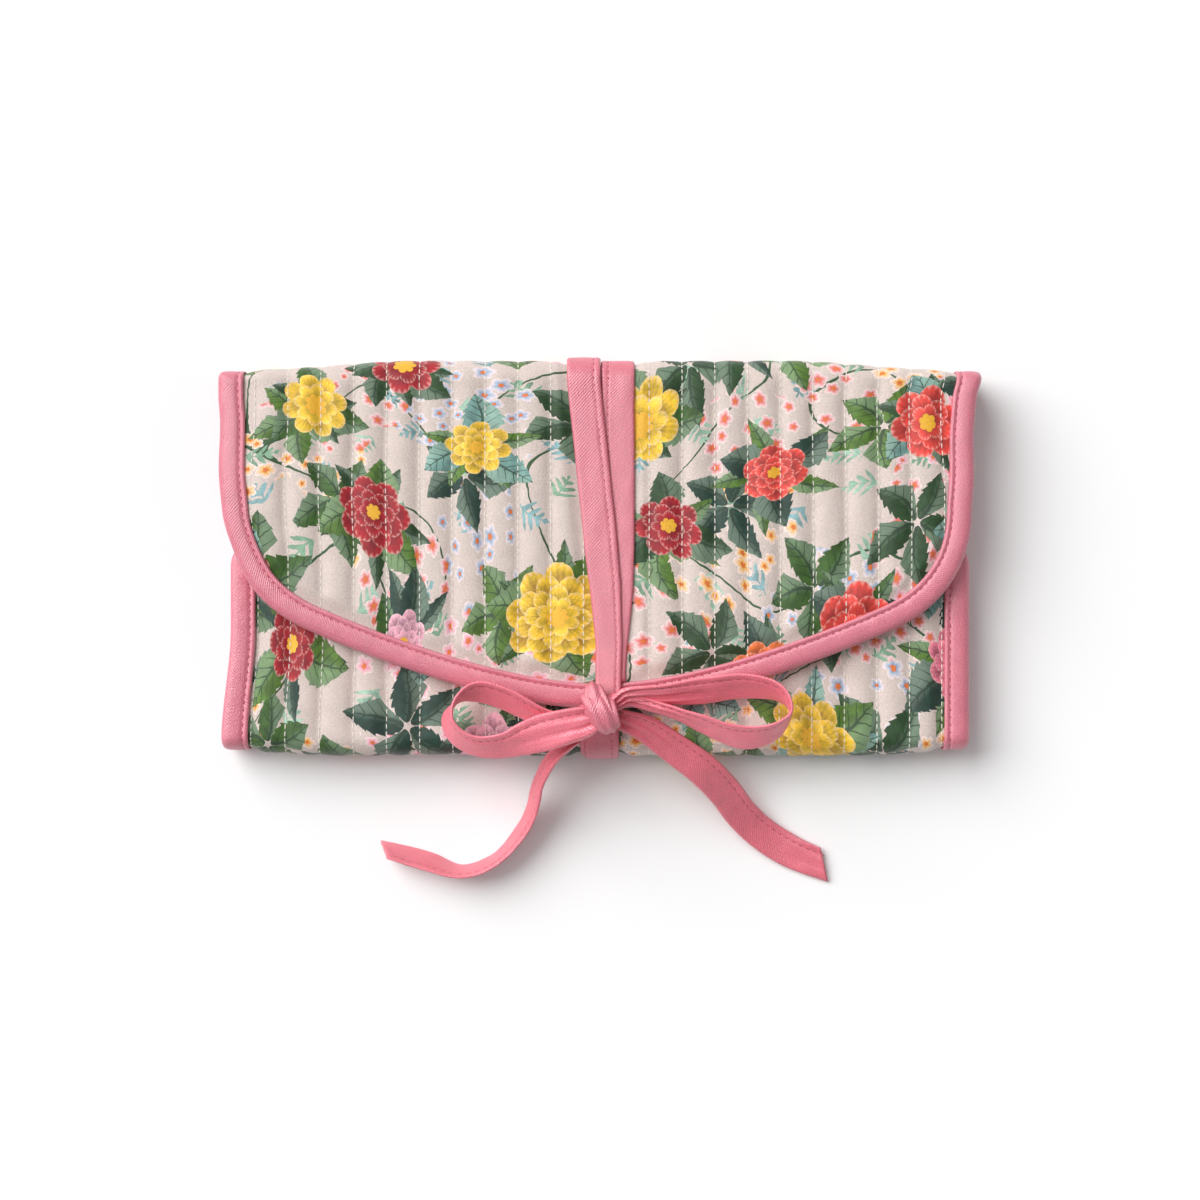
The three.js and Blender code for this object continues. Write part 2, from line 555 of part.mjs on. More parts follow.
add('bow_tail_right', strip([
  byKnot(5.8, -4, 2.5, -0.15, 0.5), byKnot(14.4, -7.4, 0, -0.15, 0.75),
  byKnot(22.4, -12.4, -3.4, -0.1, 0.9), pastFold(32.4, 4, 17, -0.1, 1), pastFold(39.6, 11.4, 12, -0.05, 1),
  pastFold(45.2, 18.8, 7, 0, 1), pastFold(51.6, 25, 3.4, 0, 1), pastFold(60.8, 31, 1.7, 0, 1),
  pastFold(73, 36, 1.7, 0.1, 0.9)]), TIE_PINK);

// Zip pocket on the back lining: cloth, tapes, two rows of teeth, stops, slider and pull
const POCKET_Z = BACK_LINING_Z + FIT;
const TAPE_Z = POCKET_Z + POCKET_CLOTH + FIT;
const TOOTH_Z = TAPE_Z + ZIP_TAPE_THICKNESS / 2 - ZIP_TOOTH_HEIGHT / 2;
const mouth = block(-ZIP_HALF_LENGTH, ZIP_HALF_LENGTH, ZIP_Y - ZIP_POCKET_MOUTH / 2,
  ZIP_Y + ZIP_POCKET_MOUTH / 2, 0, PLAN_HEIGHT);
const pocketCloth = block(-POCKET_HALF_WIDTH, POCKET_HALF_WIDTH, POCKET_BEND_GAP - BEND_Y,
  ZIP_Y + POCKET_TOP, POCKET_Z, POCKET_Z + POCKET_CLOTH);
add('zip_pocket_cloth', geometryFrom(solidOf(pocketCloth).subtract(solidOf(mouth))), POCKET);

// One side of the zip: a tape whose inner edge carries the teeth
function zipRow(side) {
  const root = ZIP_TRACK / 2 + ZIP_TOOTH_LENGTH;
  const points = [new THREE.Vector2(-ZIP_HALF_LENGTH, root + 1), new THREE.Vector2(-ZIP_HALF_LENGTH, root)];
  const count = Math.floor((2 * ZIP_HALF_LENGTH) / ZIP_TOOTH_PITCH) - 4;
  const firstX = -(count * ZIP_TOOTH_PITCH) / 2;
  for (let k = 0; k < count; k += 1) {
    const x = firstX + (k + (side > 0 ? 0.5 : 0)) * ZIP_TOOTH_PITCH;
    const half = ZIP_TOOTH_PITCH / 4;
    points.push(new THREE.Vector2(x, root), new THREE.Vector2(x, ZIP_TRACK / 2),
      new THREE.Vector2(x + half, ZIP_TRACK / 2), new THREE.Vector2(x + half, root));
  }
  points.push(new THREE.Vector2(ZIP_HALF_LENGTH, root), new THREE.Vector2(ZIP_HALF_LENGTH, root + 1));
  const placed = points.map((p) => new THREE.Vector2(p.x, ZIP_Y + side * p.y));
  return prism(side > 0 ? placed : placed.reverse(), TOOTH_Z, TOOTH_Z + ZIP_TOOTH_HEIGHT);
}

for (const [word, side] of [['upper', 1], ['lower', -1]]) {
  const near = ZIP_TRACK / 2 + ZIP_TOOTH_LENGTH + 1 + FIT;
  const edges = [ZIP_Y + side * near, ZIP_Y + side * (near + ZIP_TAPE_WIDTH)].sort((a, b) => a - b);
  const end = ZIP_HALF_LENGTH + ZIP_TAPE_WIDTH;
  add(`zip_tape_${word}`, block(-end, end, ...edges, TAPE_Z, TAPE_Z + ZIP_TAPE_THICKNESS), TAPE);
  add(`zip_teeth_${word}`, zipRow(side), BRASS);
}
for (const [word, side] of [['left', -1], ['right', 1]]) {
  const outerX = ZIP_HALF_LENGTH - 2 * FIT;
  const x = [side * (outerX - ZIP_STOP_LENGTH), side * outerX].sort((a, b) => a - b);
  const half = ZIP_TRACK / 2 + FIT * 3;
  const low = TOOTH_Z + ZIP_TOOTH_HEIGHT + FIT;
  add(`zip_stop_${word}`, block(...x, ZIP_Y - half, ZIP_Y + half, low, low + 0.9), BRASS);
}

const SLIDER_LOW = POCKET_Z;
const SLIDER_HIGH = TOOTH_Z + ZIP_TOOTH_HEIGHT + FIT;
const SLIDER_TOP = SLIDER_HIGH + SLIDER_PLATE;

// Slider plates taper to one end, as a shield does, and a thin post in the track joins them. A headed stub
// on top holds the pull.
function slider() {
  const tapered = [[-0.5, -0.36], [0.18, -0.5], [0.5, -0.3], [0.5, 0.3], [0.18, 0.5], [-0.5, 0.36]]
    .map(([x, y]) => new THREE.Vector2(SLIDER_START_X + x * SLIDER_LENGTH, ZIP_Y + y * SLIDER_WIDTH));
  const lower = solidOf(prism(tapered, SLIDER_LOW, SLIDER_LOW + SLIDER_PLATE));
  const upper = solidOf(prism(tapered, SLIDER_HIGH, SLIDER_TOP));
  const half = ZIP_TRACK / 2 - FIT;
  const post = solidOf(block(SLIDER_START_X - 1.5, SLIDER_START_X + 1.5, ZIP_Y - half, ZIP_Y + half,
    SLIDER_LOW, SLIDER_TOP));
  const stubTop = SLIDER_TOP + PULL_THICKNESS + 2 * FIT;
  const stub = solidOf(block(SLIDER_START_X - 1.1, SLIDER_START_X + 1.1, ZIP_Y - 1.1, ZIP_Y + 1.1,
    SLIDER_HIGH, stubTop));
  const head = solidOf(block(SLIDER_START_X - 2.2, SLIDER_START_X + 2.2, ZIP_Y - 2.2, ZIP_Y + 2.2,
    stubTop, stubTop + SLIDER_PLATE));
  return geometryFrom(lower.add(post).add(upper).add(stub).add(head));
}

// The pull is a flat tab with an eye round the slider's stub, so that it turns sideways.
function pull() {
  const eye = PULL_WIDTH / 2;
  const outline = new THREE.Shape();
  outline.absarc(0, 0, eye + 0.6, RIGHT_ANGLE * 0.6, -RIGHT_ANGLE * 0.6, false);
  outline.lineTo(PULL_LENGTH, -eye);
  outline.absarc(PULL_LENGTH, 0, eye, -RIGHT_ANGLE, RIGHT_ANGLE, false);
  const hole = new THREE.Path();
  hole.absarc(0, 0, 1.6 + FIT, 0, 4 * RIGHT_ANGLE, true);
  outline.holes.push(hole);
  const shape = new THREE.ExtrudeGeometry(outline,
    { depth: PULL_THICKNESS, bevelEnabled: false, curveSegments: 8 });
  return shape.translate(SLIDER_START_X, ZIP_Y, SLIDER_TOP + FIT);
}
add('zip_slider', slider(), BRASS);
add('zip_pull', geometryFrom(solidOf(pull())), BRASS);

// Ring bar: a padded roll sewn at its left end and held by a press stud at its right end
const RING_BAR_Z = BACK_LINING_Z + FIT + RING_BAR_RADIUS;

function ringBar() {
  const length = RING_BAR_RIGHT - RING_BAR_LEFT;
  const end = 7;
  const half = new THREE.CubicBezierCurve(v2(RING_BAR_RADIUS * 0.35, 0), v2(RING_BAR_RADIUS * 0.95, 0),
    v2(RING_BAR_RADIUS, end / 2), v2(RING_BAR_RADIUS, end));
  const rise = half.getPoints(4);
  const fall = rise.map((p) => v2(p.x, length - p.y)).reverse();
  const shape = new THREE.LatheGeometry([v2(0, 0), ...rise, ...fall, v2(0, length)], 16);
  shape.rotateZ(-RIGHT_ANGLE);
  return shape.translate(RING_BAR_LEFT, RING_BAR_Y, RING_BAR_Z);
}
add('ring_bar_pad', geometryFrom(solidOf(ringBar())), LINING);

const SEWN_TAB_LENGTH = 16;
const TAB_HALF = RING_TAB_WIDTH / 2;
add('ring_bar_sewn_tab', block(RING_BAR_LEFT - FIT - SEWN_TAB_LENGTH, RING_BAR_LEFT - FIT,
  RING_BAR_Y - TAB_HALF, RING_BAR_Y + TAB_HALF, POCKET_Z, POCKET_Z + POCKET_CLOTH * 2), PINK);

// Press stud: the stud is riveted to the lining, the socket to the tab, and the stud's head sits in it.
const STUD_BASE = 0.8;
const STUD_HEAD = 1.6;
const STUD_RADIUS = 1.8;
const SOCKET_WALL = 1.9;
const snapX = RING_BAR_RIGHT + RING_TAB_LENGTH - SNAP_RADIUS - 2;
const lathe = (points) => geometryFrom(solidOf(new THREE.LatheGeometry(points, 20)
  .rotateX(RIGHT_ANGLE).translate(snapX, RING_BAR_Y, POCKET_Z)));
add('snap_stud', lathe([v2(0, 0), v2(SNAP_RADIUS, 0), v2(SNAP_RADIUS, STUD_BASE),
  v2(STUD_RADIUS, STUD_BASE), v2(STUD_RADIUS, STUD_BASE + STUD_HEAD), v2(0, STUD_BASE + STUD_HEAD)]), BRASS);
const socketLow = STUD_BASE + FIT;
const socketHigh = socketLow + SOCKET_WALL + STUD_HEAD / 3;
const socketRoof = STUD_BASE + STUD_HEAD + FIT;
add('snap_socket', lathe([v2(0, socketRoof), v2(STUD_RADIUS + FIT, socketRoof),
  v2(STUD_RADIUS + FIT, socketLow), v2(SNAP_RADIUS, socketLow), v2(SNAP_RADIUS, socketHigh),
  v2(0, socketHigh)]), BRASS);
const tabLow = POCKET_Z + socketHigh + FIT;
add('ring_bar_snap_tab', block(RING_BAR_RIGHT + FIT, RING_BAR_RIGHT + RING_TAB_LENGTH,
  RING_BAR_Y - TAB_HALF, RING_BAR_Y + TAB_HALF, tabLow, tabLow + POCKET_CLOTH * 2), PINK);
const CAP_HEIGHT = 1.2;
add('snap_cap', lathe([v2(0, tabLow + 2 * POCKET_CLOTH + FIT - POCKET_Z),
  v2(SNAP_RADIUS, tabLow + 2 * POCKET_CLOTH + FIT - POCKET_Z),
  v2(SNAP_RADIUS * 0.7, tabLow + 2 * POCKET_CLOTH + FIT + CAP_HEIGHT - POCKET_Z),
  v2(0, tabLow + 2 * POCKET_CLOTH + FIT + CAP_HEIGHT - POCKET_Z)]), BRASS);

// Flat slip pockets on the linings of the front panel and the flap
const FRONT_LINING_Z = FRONT_FACE_Z - PANEL_THICKNESS;
const FLAP_LINING_Z = FLAP_FACE_Z - PANEL_THICKNESS;
const SLIP_FRONT_Y = [SLIP_BEND_GAP - BEND_Y, FRONT_EDGE_Y - SLIP_EDGE_GAP];
const SLIP_FLAP_Y = [FRONT_EDGE_Y + SLIP_BEND_GAP, BEND_Y - SLIP_BEND_GAP];
for (const [name, [y0, y1], z] of [
  ['front_slip_pocket', SLIP_FRONT_Y, FRONT_LINING_Z], ['flap_slip_pocket', SLIP_FLAP_Y, FLAP_LINING_Z]]) {
  add(name, block(-POCKET_HALF_WIDTH, POCKET_HALF_WIDTH, y0, y1, z - FIT - POCKET_CLOTH, z - FIT), POCKET);
}

export default roll;
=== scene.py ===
# %% [markdown]
# # A quilted jewelry roll tied with a bow
# The roll is one long quilted cloth, folded in three round its pockets. Pink bias binding closes every raw
# edge, and two pink cloth ties run round the roll and end in a bow. The CAD part gives the places, the hinges
# and the rigid fittings. This script makes the cloth, thread and metal that show.

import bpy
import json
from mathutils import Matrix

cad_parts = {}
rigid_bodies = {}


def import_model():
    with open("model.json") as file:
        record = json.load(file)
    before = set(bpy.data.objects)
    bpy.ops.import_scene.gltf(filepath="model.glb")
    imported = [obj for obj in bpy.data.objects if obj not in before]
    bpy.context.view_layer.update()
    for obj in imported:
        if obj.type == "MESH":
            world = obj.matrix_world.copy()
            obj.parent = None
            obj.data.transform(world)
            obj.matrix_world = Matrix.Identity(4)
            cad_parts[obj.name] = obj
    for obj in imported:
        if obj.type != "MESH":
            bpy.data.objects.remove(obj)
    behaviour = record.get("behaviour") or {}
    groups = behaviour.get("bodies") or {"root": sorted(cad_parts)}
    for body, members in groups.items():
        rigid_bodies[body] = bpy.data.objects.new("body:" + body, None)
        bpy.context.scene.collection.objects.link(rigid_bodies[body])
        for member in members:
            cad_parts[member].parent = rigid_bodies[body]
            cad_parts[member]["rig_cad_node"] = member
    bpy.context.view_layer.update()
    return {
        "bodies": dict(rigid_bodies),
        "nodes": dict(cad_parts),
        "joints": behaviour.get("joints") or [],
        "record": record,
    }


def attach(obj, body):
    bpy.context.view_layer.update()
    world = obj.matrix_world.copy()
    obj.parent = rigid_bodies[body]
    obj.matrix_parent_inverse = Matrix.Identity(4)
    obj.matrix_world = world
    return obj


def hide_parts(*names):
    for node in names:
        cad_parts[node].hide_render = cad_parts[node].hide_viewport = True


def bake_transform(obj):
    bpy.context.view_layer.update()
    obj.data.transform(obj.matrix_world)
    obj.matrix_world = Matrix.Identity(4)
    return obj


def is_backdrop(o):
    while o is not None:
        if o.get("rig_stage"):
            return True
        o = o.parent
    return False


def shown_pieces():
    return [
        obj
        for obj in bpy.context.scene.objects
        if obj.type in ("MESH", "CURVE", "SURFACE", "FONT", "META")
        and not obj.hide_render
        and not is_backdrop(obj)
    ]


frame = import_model()

import json
import math

import bmesh
import bpy
from mathutils import Matrix, Vector, noise

MM = 0.001
scene = bpy.context.scene
scene.view_settings.view_transform = "Standard"

# %% [markdown]
# ## Camera
# The photograph looks straight down from a little under a metre, with the image's top along +Y. A camera
# with no turn already looks down -Z with +Y up, so only its height and its middle need a value.

# %% Camera
lens = bpy.data.cameras.new("straight_down")
lens.lens = 85
lens.sensor_width = 36
camera = bpy.data.objects.new("straight_down", lens)
camera.location = (0, -0.013, 0.912)
scene.collection.objects.link(camera)
scene.camera = camera
print("camera", tuple(camera.location))

# %% [markdown]
# ## Shader nodes from code
# Every finish is a tree of shader nodes. Helpers keep that readable: put adds a node and links what feeds it, and
# an Amount lets sums be written as ordinary arithmetic, with one Math node for each step.

# %% Helpers for shader nodes
def wire(tree, node, inputs):
    """Sets a node's inputs: each is a number, a colour, another node's socket or an Amount."""
    pairs = inputs.items() if isinstance(inputs, dict) else enumerate(inputs)
    for slot, value in pairs:
        value = getattr(value, "socket", value)
        if isinstance(value, bpy.types.NodeSocket):
            tree.links.new(value, node.inputs[slot])
        else:
            node.inputs[slot].default_value = value


def put(tree, kind, inputs=(), **settings):
    """Adds a shader node with its settings and inputs."""
    made = tree.nodes.new(kind)
    for key, value in settings.items():
        setattr(made, key, value)
    wire(tree, made, inputs)
    return made


def calc(tree, operation, *inputs):
    return Amount(tree, put(tree, "ShaderNodeMath", inputs, operation=operation).outputs[0])


class Amount:
    """A value that varies over a surface, in a tree of nodes."""

    def __init__(self, tree, socket):
        self.tree, self.socket = tree, socket

    def step(self, operation, *others):
        return calc(self.tree, operation, self, *others)

    def times_plus(self, factor, extra):
        return self.step("MULTIPLY_ADD", factor, extra)

    def __add__(self, other):
        return self.step("ADD", other)

    def __sub__(self, other):
        return self.step("SUBTRACT", other)

    def __rsub__(self, other):
        return calc(self.tree, "SUBTRACT", other, self)

    def __mul__(self, other):
        return self.step("MULTIPLY", other)

    def __truediv__(self, other):
        return self.step("DIVIDE", other)

    def __rtruediv__(self, other):
        return calc(self.tree, "DIVIDE", other, self)

    def __lt__(self, other):
        return self.step("LESS_THAN", other)

    def __abs__(self):
        return self.step("ABSOLUTE")


def new_look(name):
    """A material, its tree and its shader."""
    look = bpy.data.materials.new(name)
    look.use_nodes = True
    return look, look.node_tree, look.node_tree.nodes["Principled BSDF"]


print("node helpers ready")

# %% [markdown]
# ## Light and floor
# A wide soft lamp stands up and to the left, a second one overhead and a pale world fills the rest. Their shares
# add up to about one, so that a colour renders about as it is written. The shadow falls to the right and below,
# dark at the roll and gone within 30 mm. The floor is a white sheet that keeps it. Both lamps are far off, so
# that the floor is as bright on the right as on the left.

# %% Lamps, world and floor
def soft_lamp(name, place, spread, share):
    """A far, wide lamp that gives a white floor the share of its brightness."""
    data = bpy.data.lights.new(name, "SUN")
    data.angle = math.radians(spread)
    data.energy = share * math.pi / Vector(place).normalized().z
    lamp = bpy.data.objects.new(name, data)
    lamp.location = place
    lamp.rotation_euler = (-Vector(place)).to_track_quat("-Z", "Y").to_euler()
    scene.collection.objects.link(lamp)


soft_lamp("key_lamp", (-0.88, 0.68, 1.0), 50, 0.7)
soft_lamp("overhead_lamp", (-0.05, 0.1, 1.3), 40, 0.09)

# the world gives this share of the light, and the camera sees it as plain white
WORLD_SHARE = 0.27
world = bpy.data.worlds.new("studio")
world.use_nodes = True
scene.world = world
air = world.node_tree
seen = put(air, "ShaderNodeLightPath").outputs["Is Camera Ray"]
wire(air, air.nodes["Background"], {
    "Color": (1, 1, 1, 1), "Strength": calc(air, "MULTIPLY_ADD", seen, 1 - WORLD_SHARE, WORLD_SHARE)})

floor_look, tree, shader = new_look("white_floor")
wire(tree, shader, {"Base Color": (0.95, 0.95, 0.95, 1), "Roughness": 0.9, "Specular IOR Level": 0})

bm = bmesh.new()
bmesh.ops.create_grid(bm, x_segments=2, y_segments=2, size=4)
floor_mesh = bpy.data.meshes.new("floor")
bm.to_mesh(floor_mesh)
bm.free()
floor_mesh.materials.append(floor_look)
floor = bpy.data.objects.new("floor", floor_mesh)
scene.collection.objects.link(floor)
floor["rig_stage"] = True
print("lamps and floor set")

# %% [markdown]
# ## Cloth finishes
# All the cloth is cotton with a fine diagonal twill. The weave is one node group in millimetres of cloth, read
# from each piece's own UV map, so that it runs along the ties and round the folds. It puts out a height for
# the Bump node and a tone: the fuzz and slubs of the yarn vary it at random, and the ribs darken the gaps
# between threads a little, which is painted shade.

# %% The weave, as a node group
def new_group(name, *numbers):
    """Starts a node group that takes a place on the cloth in mm, and numbers by name."""
    group = bpy.data.node_groups.new(name, "ShaderNodeTree")
    group.interface.new_socket("Place", in_out="INPUT", socket_type="NodeSocketVector")
    for label in numbers:
        group.interface.new_socket(label, in_out="INPUT", socket_type="NodeSocketFloat")
    given = put(group, "NodeGroupInput").outputs
    return [group] + [Amount(group, given[label]) for label in ("Place",) + numbers]


def end_group(group, **results):
    """Ends a node group that gives masks or values by name."""
    for label in results:
        group.interface.new_socket(label, in_out="OUTPUT", socket_type="NodeSocketFloat")
    put(group, "NodeGroupOutput", results)
    return group


def grouped(tree, group, **values):
    """Uses a node group, and gives its results by name."""
    made = put(tree, "ShaderNodeGroup", values, node_tree=group)
    return {result.name: Amount(tree, result) for result in made.outputs}


def blotches(tree, place, scale, detail=0.0, channel=0):
    """Smooth noise over the flat cloth: a value from 0 to 1, or with channel 1 a colour."""
    texture = put(tree, "ShaderNodeTexNoise", {"Vector": place, "Scale": scale, "Detail": detail},
                  noise_dimensions="2D")
    return Amount(tree, texture.outputs[channel])


def twill_group():
    group, place, threads = new_group("twill", "Threads")
    wave = put(group, "ShaderNodeTexWave", {
        "Vector": place, "Scale": threads, "Distortion": 0.6, "Detail": 1.0, "Detail Scale": 2.0},
        bands_direction="DIAGONAL")
    ribs = Amount(group, wave.outputs["Fac"])
    fuzz = blotches(group, place, 1.9, 2.0)
    slub = blotches(group, place, 0.16, 1.0)
    # the tone: random with the slubs and fuzz, and a little darker in the gaps between the ribs, which is painted shade
    tone = (slub - 0.5).times_plus(0.16, ribs.times_plus(0.1, 0.95))
    tone = (fuzz - 0.5).times_plus(0.66, tone)
    return end_group(group, Height=fuzz.times_plus(1.3, ribs * 0.6), Tone=tone)


twill = twill_group()


def srgb(*channels):
    """A colour as a screen shows it, from 0 to 255, as the linear colour that Blender mixes."""
    return tuple(c / 255 / 12.92 if c / 255 <= 0.04045 else ((c / 255 + 0.055) / 1.055) ** 2.4
                 for c in channels) + (1.0,)


def scaled(tree, vector, factor):
    """A colour or a place, times a number or an Amount."""
    return put(tree, "ShaderNodeVectorMath", {0: vector, "Scale": factor}, operation="SCALE").outputs[0]


def cloth_look(name, colour=None, threads=0.62, relief=0.00022, paint=None, gloss=0.5):
    """A woven cloth, of one colour or printed by paint(tree, uv in mm)."""
    look, tree, shader = new_look(name)
    uv = put(tree, "ShaderNodeUVMap", uv_map="weave").outputs[0]
    cloth = scaled(tree, uv, 1000)
    weave = grouped(tree, twill, Place=cloth, Threads=threads)
    base = paint(tree, cloth) if paint else colour[:3]
    bump = put(tree, "ShaderNodeBump", {"Strength": 0.6, "Distance": relief, "Height": weave["Height"]})
    wire(tree, shader, {
        "Base Color": scaled(tree, base, weave["Tone"]), "Normal": bump.outputs[0], "Roughness": 0.43, "IOR": 1.7,
        "Specular IOR Level": gloss, "Sheen Weight": 0.1, "Sheen Roughness": 0.6})
    return look


binding_look = cloth_look("pink_binding_cotton", srgb(219, 110, 131), gloss=1.0)
tie_look = cloth_look("pink_tie_cotton", srgb(221, 107, 127), gloss=1.0)
# the loops and the tails get a lighter pink than the ties, which is painted light: it stands in for light shining
# through the loops' single layer, and a little of it on the tails
painted_light_tails = cloth_look("pink_cotton_painted_light_tails", srgb(236, 104, 124), gloss=1.0)
painted_light_loops = cloth_look("pink_cotton_painted_light_loops", srgb(252, 116, 137), gloss=1.0)
lining_look = cloth_look("lining_cotton", srgb(240, 214, 210), threads=1.3)
pocket_look = cloth_look("pocket_cotton", srgb(236, 176, 184), threads=1.3)
tape_look = cloth_look("zip_tape_cotton", srgb(214, 128, 142), threads=1.1)
print("cloth finishes made")

# %% [markdown]
# ## Thread and brass
# The quilting thread is off-white and the seams inside use pink thread. Where a seam sinks into the bindings, the
# ties and the bow, its thread is a deeper pink: painted shade, for the little light that gets down to it. Thread
# is twisted, so its look carries a fine spiral. The zip and the press stud are brushed brass with a little tarnish.

# %% Thread and brass
def object_place(tree):
    return put(tree, "ShaderNodeTexCoord").outputs["Object"]


def ramped(tree, value, low, high):
    """Carries a value from 0 to 1 to a range."""
    return put(tree, "ShaderNodeMapRange", {"Value": value, "To Min": low, "To Max": high}).outputs[0]


def thread_look(name, colour):
    look, tree, shader = new_look(name)
    twist = put(tree, "ShaderNodeTexWave", {"Vector": object_place(tree), "Scale": 900}, bands_direction="DIAGONAL")
    tone = ramped(tree, twist.outputs["Fac"], 0.86, 1.04)
    wire(tree, shader, {"Base Color": scaled(tree, colour[:3], tone), "Roughness": 0.6, "Sheen Weight": 0.2})
    return look


def brass_look():
    look, tree, shader = new_look("brushed_brass")
    where = object_place(tree)
    drawn = put(tree, "ShaderNodeMapping", {"Vector": where, "Scale": (200, 4000, 4000)})
    brushed = put(tree, "ShaderNodeTexNoise", {"Vector": drawn.outputs[0], "Scale": 1.0, "Detail": 4.0}).outputs[0]
    tarnish = put(tree, "ShaderNodeTexNoise", {"Vector": where, "Scale": 260.0, "Detail": 3.0}).outputs[0]
    metal = put(tree, "ShaderNodeValToRGB", [tarnish])
    dull, bright = metal.color_ramp.elements
    dull.color, dull.position = srgb(176, 140, 84), 0.35
    bright.color, bright.position = srgb(226, 194, 130), 0.7
    bump = put(tree, "ShaderNodeBump", {"Strength": 0.3, "Distance": 0.00004, "Height": brushed})
    wire(tree, shader, {"Base Color": metal.outputs[0], "Roughness": ramped(tree, brushed, 0.22, 0.45),
                        "Normal": bump.outputs[0], "Metallic": 1})
    return look


cream_thread = thread_look("cream_quilting_thread", srgb(246, 238, 226))
pink_thread = thread_look("pink_seam_thread", srgb(204, 102, 120))
# painted shade: a deeper pink than the seam thread, for the stitches sunk in the bindings, the ties and the bow
painted_shade_thread = thread_look("seam_thread_painted_shade", srgb(186, 84, 102))
brass = brass_look()
print("thread and brass made")

# %% [markdown]
# ## Printed cotton
# The quilted face is a cream cotton with a loose print of garden flowers. The print could be painted as an
# image, but nodes stay sharp at any size and need no file. A Voronoi texture gives each motif its own cell: the
# offset from the cell's middle is the motif's own plane, and the cell's random colour picks its turn, size and
# ink. Four small groups draw the forms: a layered rosette, a ring of leaves, a fern and a simple flower. The ink
# pools unevenly, as a brush leaves it, and two slow noises shake the hand and bend the rows.

# %% Rosette, leaves, fern and flower, as node groups
def polar(place, turn):
    """How far a place is from its motif's middle, and at which angle."""
    tree = place.tree
    x, y, _ = put(tree, "ShaderNodeSeparateXYZ", [place]).outputs
    reach = put(tree, "ShaderNodeVectorMath", [place], operation="LENGTH").outputs["Value"]
    return Amount(tree, reach), calc(tree, "ARCTAN2", y, x) + turn


def span(value, low, high, start=0.0, end=1.0):
    """Carries value from one range to another and stops at its ends."""
    return Amount(value.tree, put(value.tree, "ShaderNodeMapRange", [value, low, high, start, end]).outputs[0])


def lobed(wave, notch):
    """The reach of a round-tipped petal, from a cosine or sine of the angle."""
    return (abs(wave).step("POWER", 0.55) - 1.0).times_plus(notch, 1.0)


def rosette_group():
    """Rings of petals, each ring set half a petal round from the last; the inner rings lie on top."""
    group, place, turn, radius, count, rings = new_group("rosette", "Turn", "Radius", "Count", "Rings")
    reach, angle = polar(place, turn)
    half = angle * (count * 0.5)
    ring = reach * rings / radius
    even = ring / lobed(half.step("COSINE"), 0.3)
    odd = ring / lobed(half.step("SINE"), 0.3)
    even_ring = (even.times_plus(0.5, -0.5).step("CEIL") * 2.0).step("MAXIMUM", 0.0)
    odd_ring = odd.times_plus(0.5, -1.0).step("CEIL").times_plus(2.0, 1.0).step("MAXIMUM", 1.0)
    seen_ring = even_ring.step("MINIMUM", odd_ring)
    inward = seen_ring + 1.0 - (even - odd).times_plus(even_ring < odd_ring, odd)
    streak = (half * 11.0).step("SINE") * 0.1
    return end_group(group, Petal=seen_ring < rings - 0.5, Shade=span(inward, 1.5, 0.0) + streak,
                     Ring=seen_ring / rings)


def leaf_group():
    """A ring of toothed leaves with ribs, each a little bent; Half tells one side of a leaf from the other."""
    group, place, turn, count, start, length, width = new_group("leaves", "Turn", "Count", "Start", "Length", "Width")
    reach, angle = polar(place, turn)
    off = ((angle * (count / (2 * math.pi))).step("FRACT") - 0.5) * (2 * math.pi / count)
    along = reach * off.step("COSINE") - start
    share = span(along / length, 0.0, 1.0)
    swell = (share.step("POWER", 0.75) * math.pi).step("SINE")
    side = reach * off.step("SINE") - swell * (width * 0.3)
    wide = abs(side)
    tooth = (along * 0.4).step("FRACT") * 0.16
    midrib = wide < share.times_plus(-0.55, 0.62)
    rib = (wide.times_plus(-0.9, along) * 0.33).step("FRACT")
    rib = abs(rib - 0.5) < (wide / width).times_plus(-0.09, 0.09)
    return end_group(group, Leaf=wide < swell * width * (1.0 - tooth), Vein=midrib.step("MAXIMUM", rib),
                     Half=span(side / width, -0.25, 0.25))


def fern_group():
    """One frond: leaflets that narrow outward from a thin stem."""
    group, place, turn, length = new_group("fern", "Turn", "Length")
    reach, angle = polar(place, turn)
    along = reach * angle.step("COSINE")
    share = span(along / length + 0.5, 0.0, 1.0)
    swell = (share.step("POWER", 0.7) * math.pi).step("SINE")
    wide = abs(reach * angle.step("SINE") - swell * 1.2)
    outward = wide / swell.times_plus(4.6, 0.01)
    gap = abs((wide.times_plus(-0.7, along) * 0.4).step("FRACT").times_plus(2.0, -1.0))
    leaflet = gap < outward.step("POWER", 3.0).times_plus(-0.62, 0.62)
    return end_group(group, Leaf=leaflet.step("MAXIMUM", wide < 0.24) * (outward < 1.0))


def flower_group():
    """Five round petals; Shade runs from 0 in the middle to 1 at the edge."""
    group, place, turn, radius = new_group("flower", "Turn", "Radius")
    reach, angle = polar(place, turn)
    edge = radius * lobed((angle * 2.5).step("COSINE"), 0.45)
    share = reach / edge.step("MAXIMUM", 0.01)
    return end_group(group, Petal=share < 1.0, Shade=share)


rosette, leaves, fern, flower = rosette_group(), leaf_group(), fern_group(), flower_group()
print("motifs", [group.name for group in (rosette, leaves, fern, flower)])


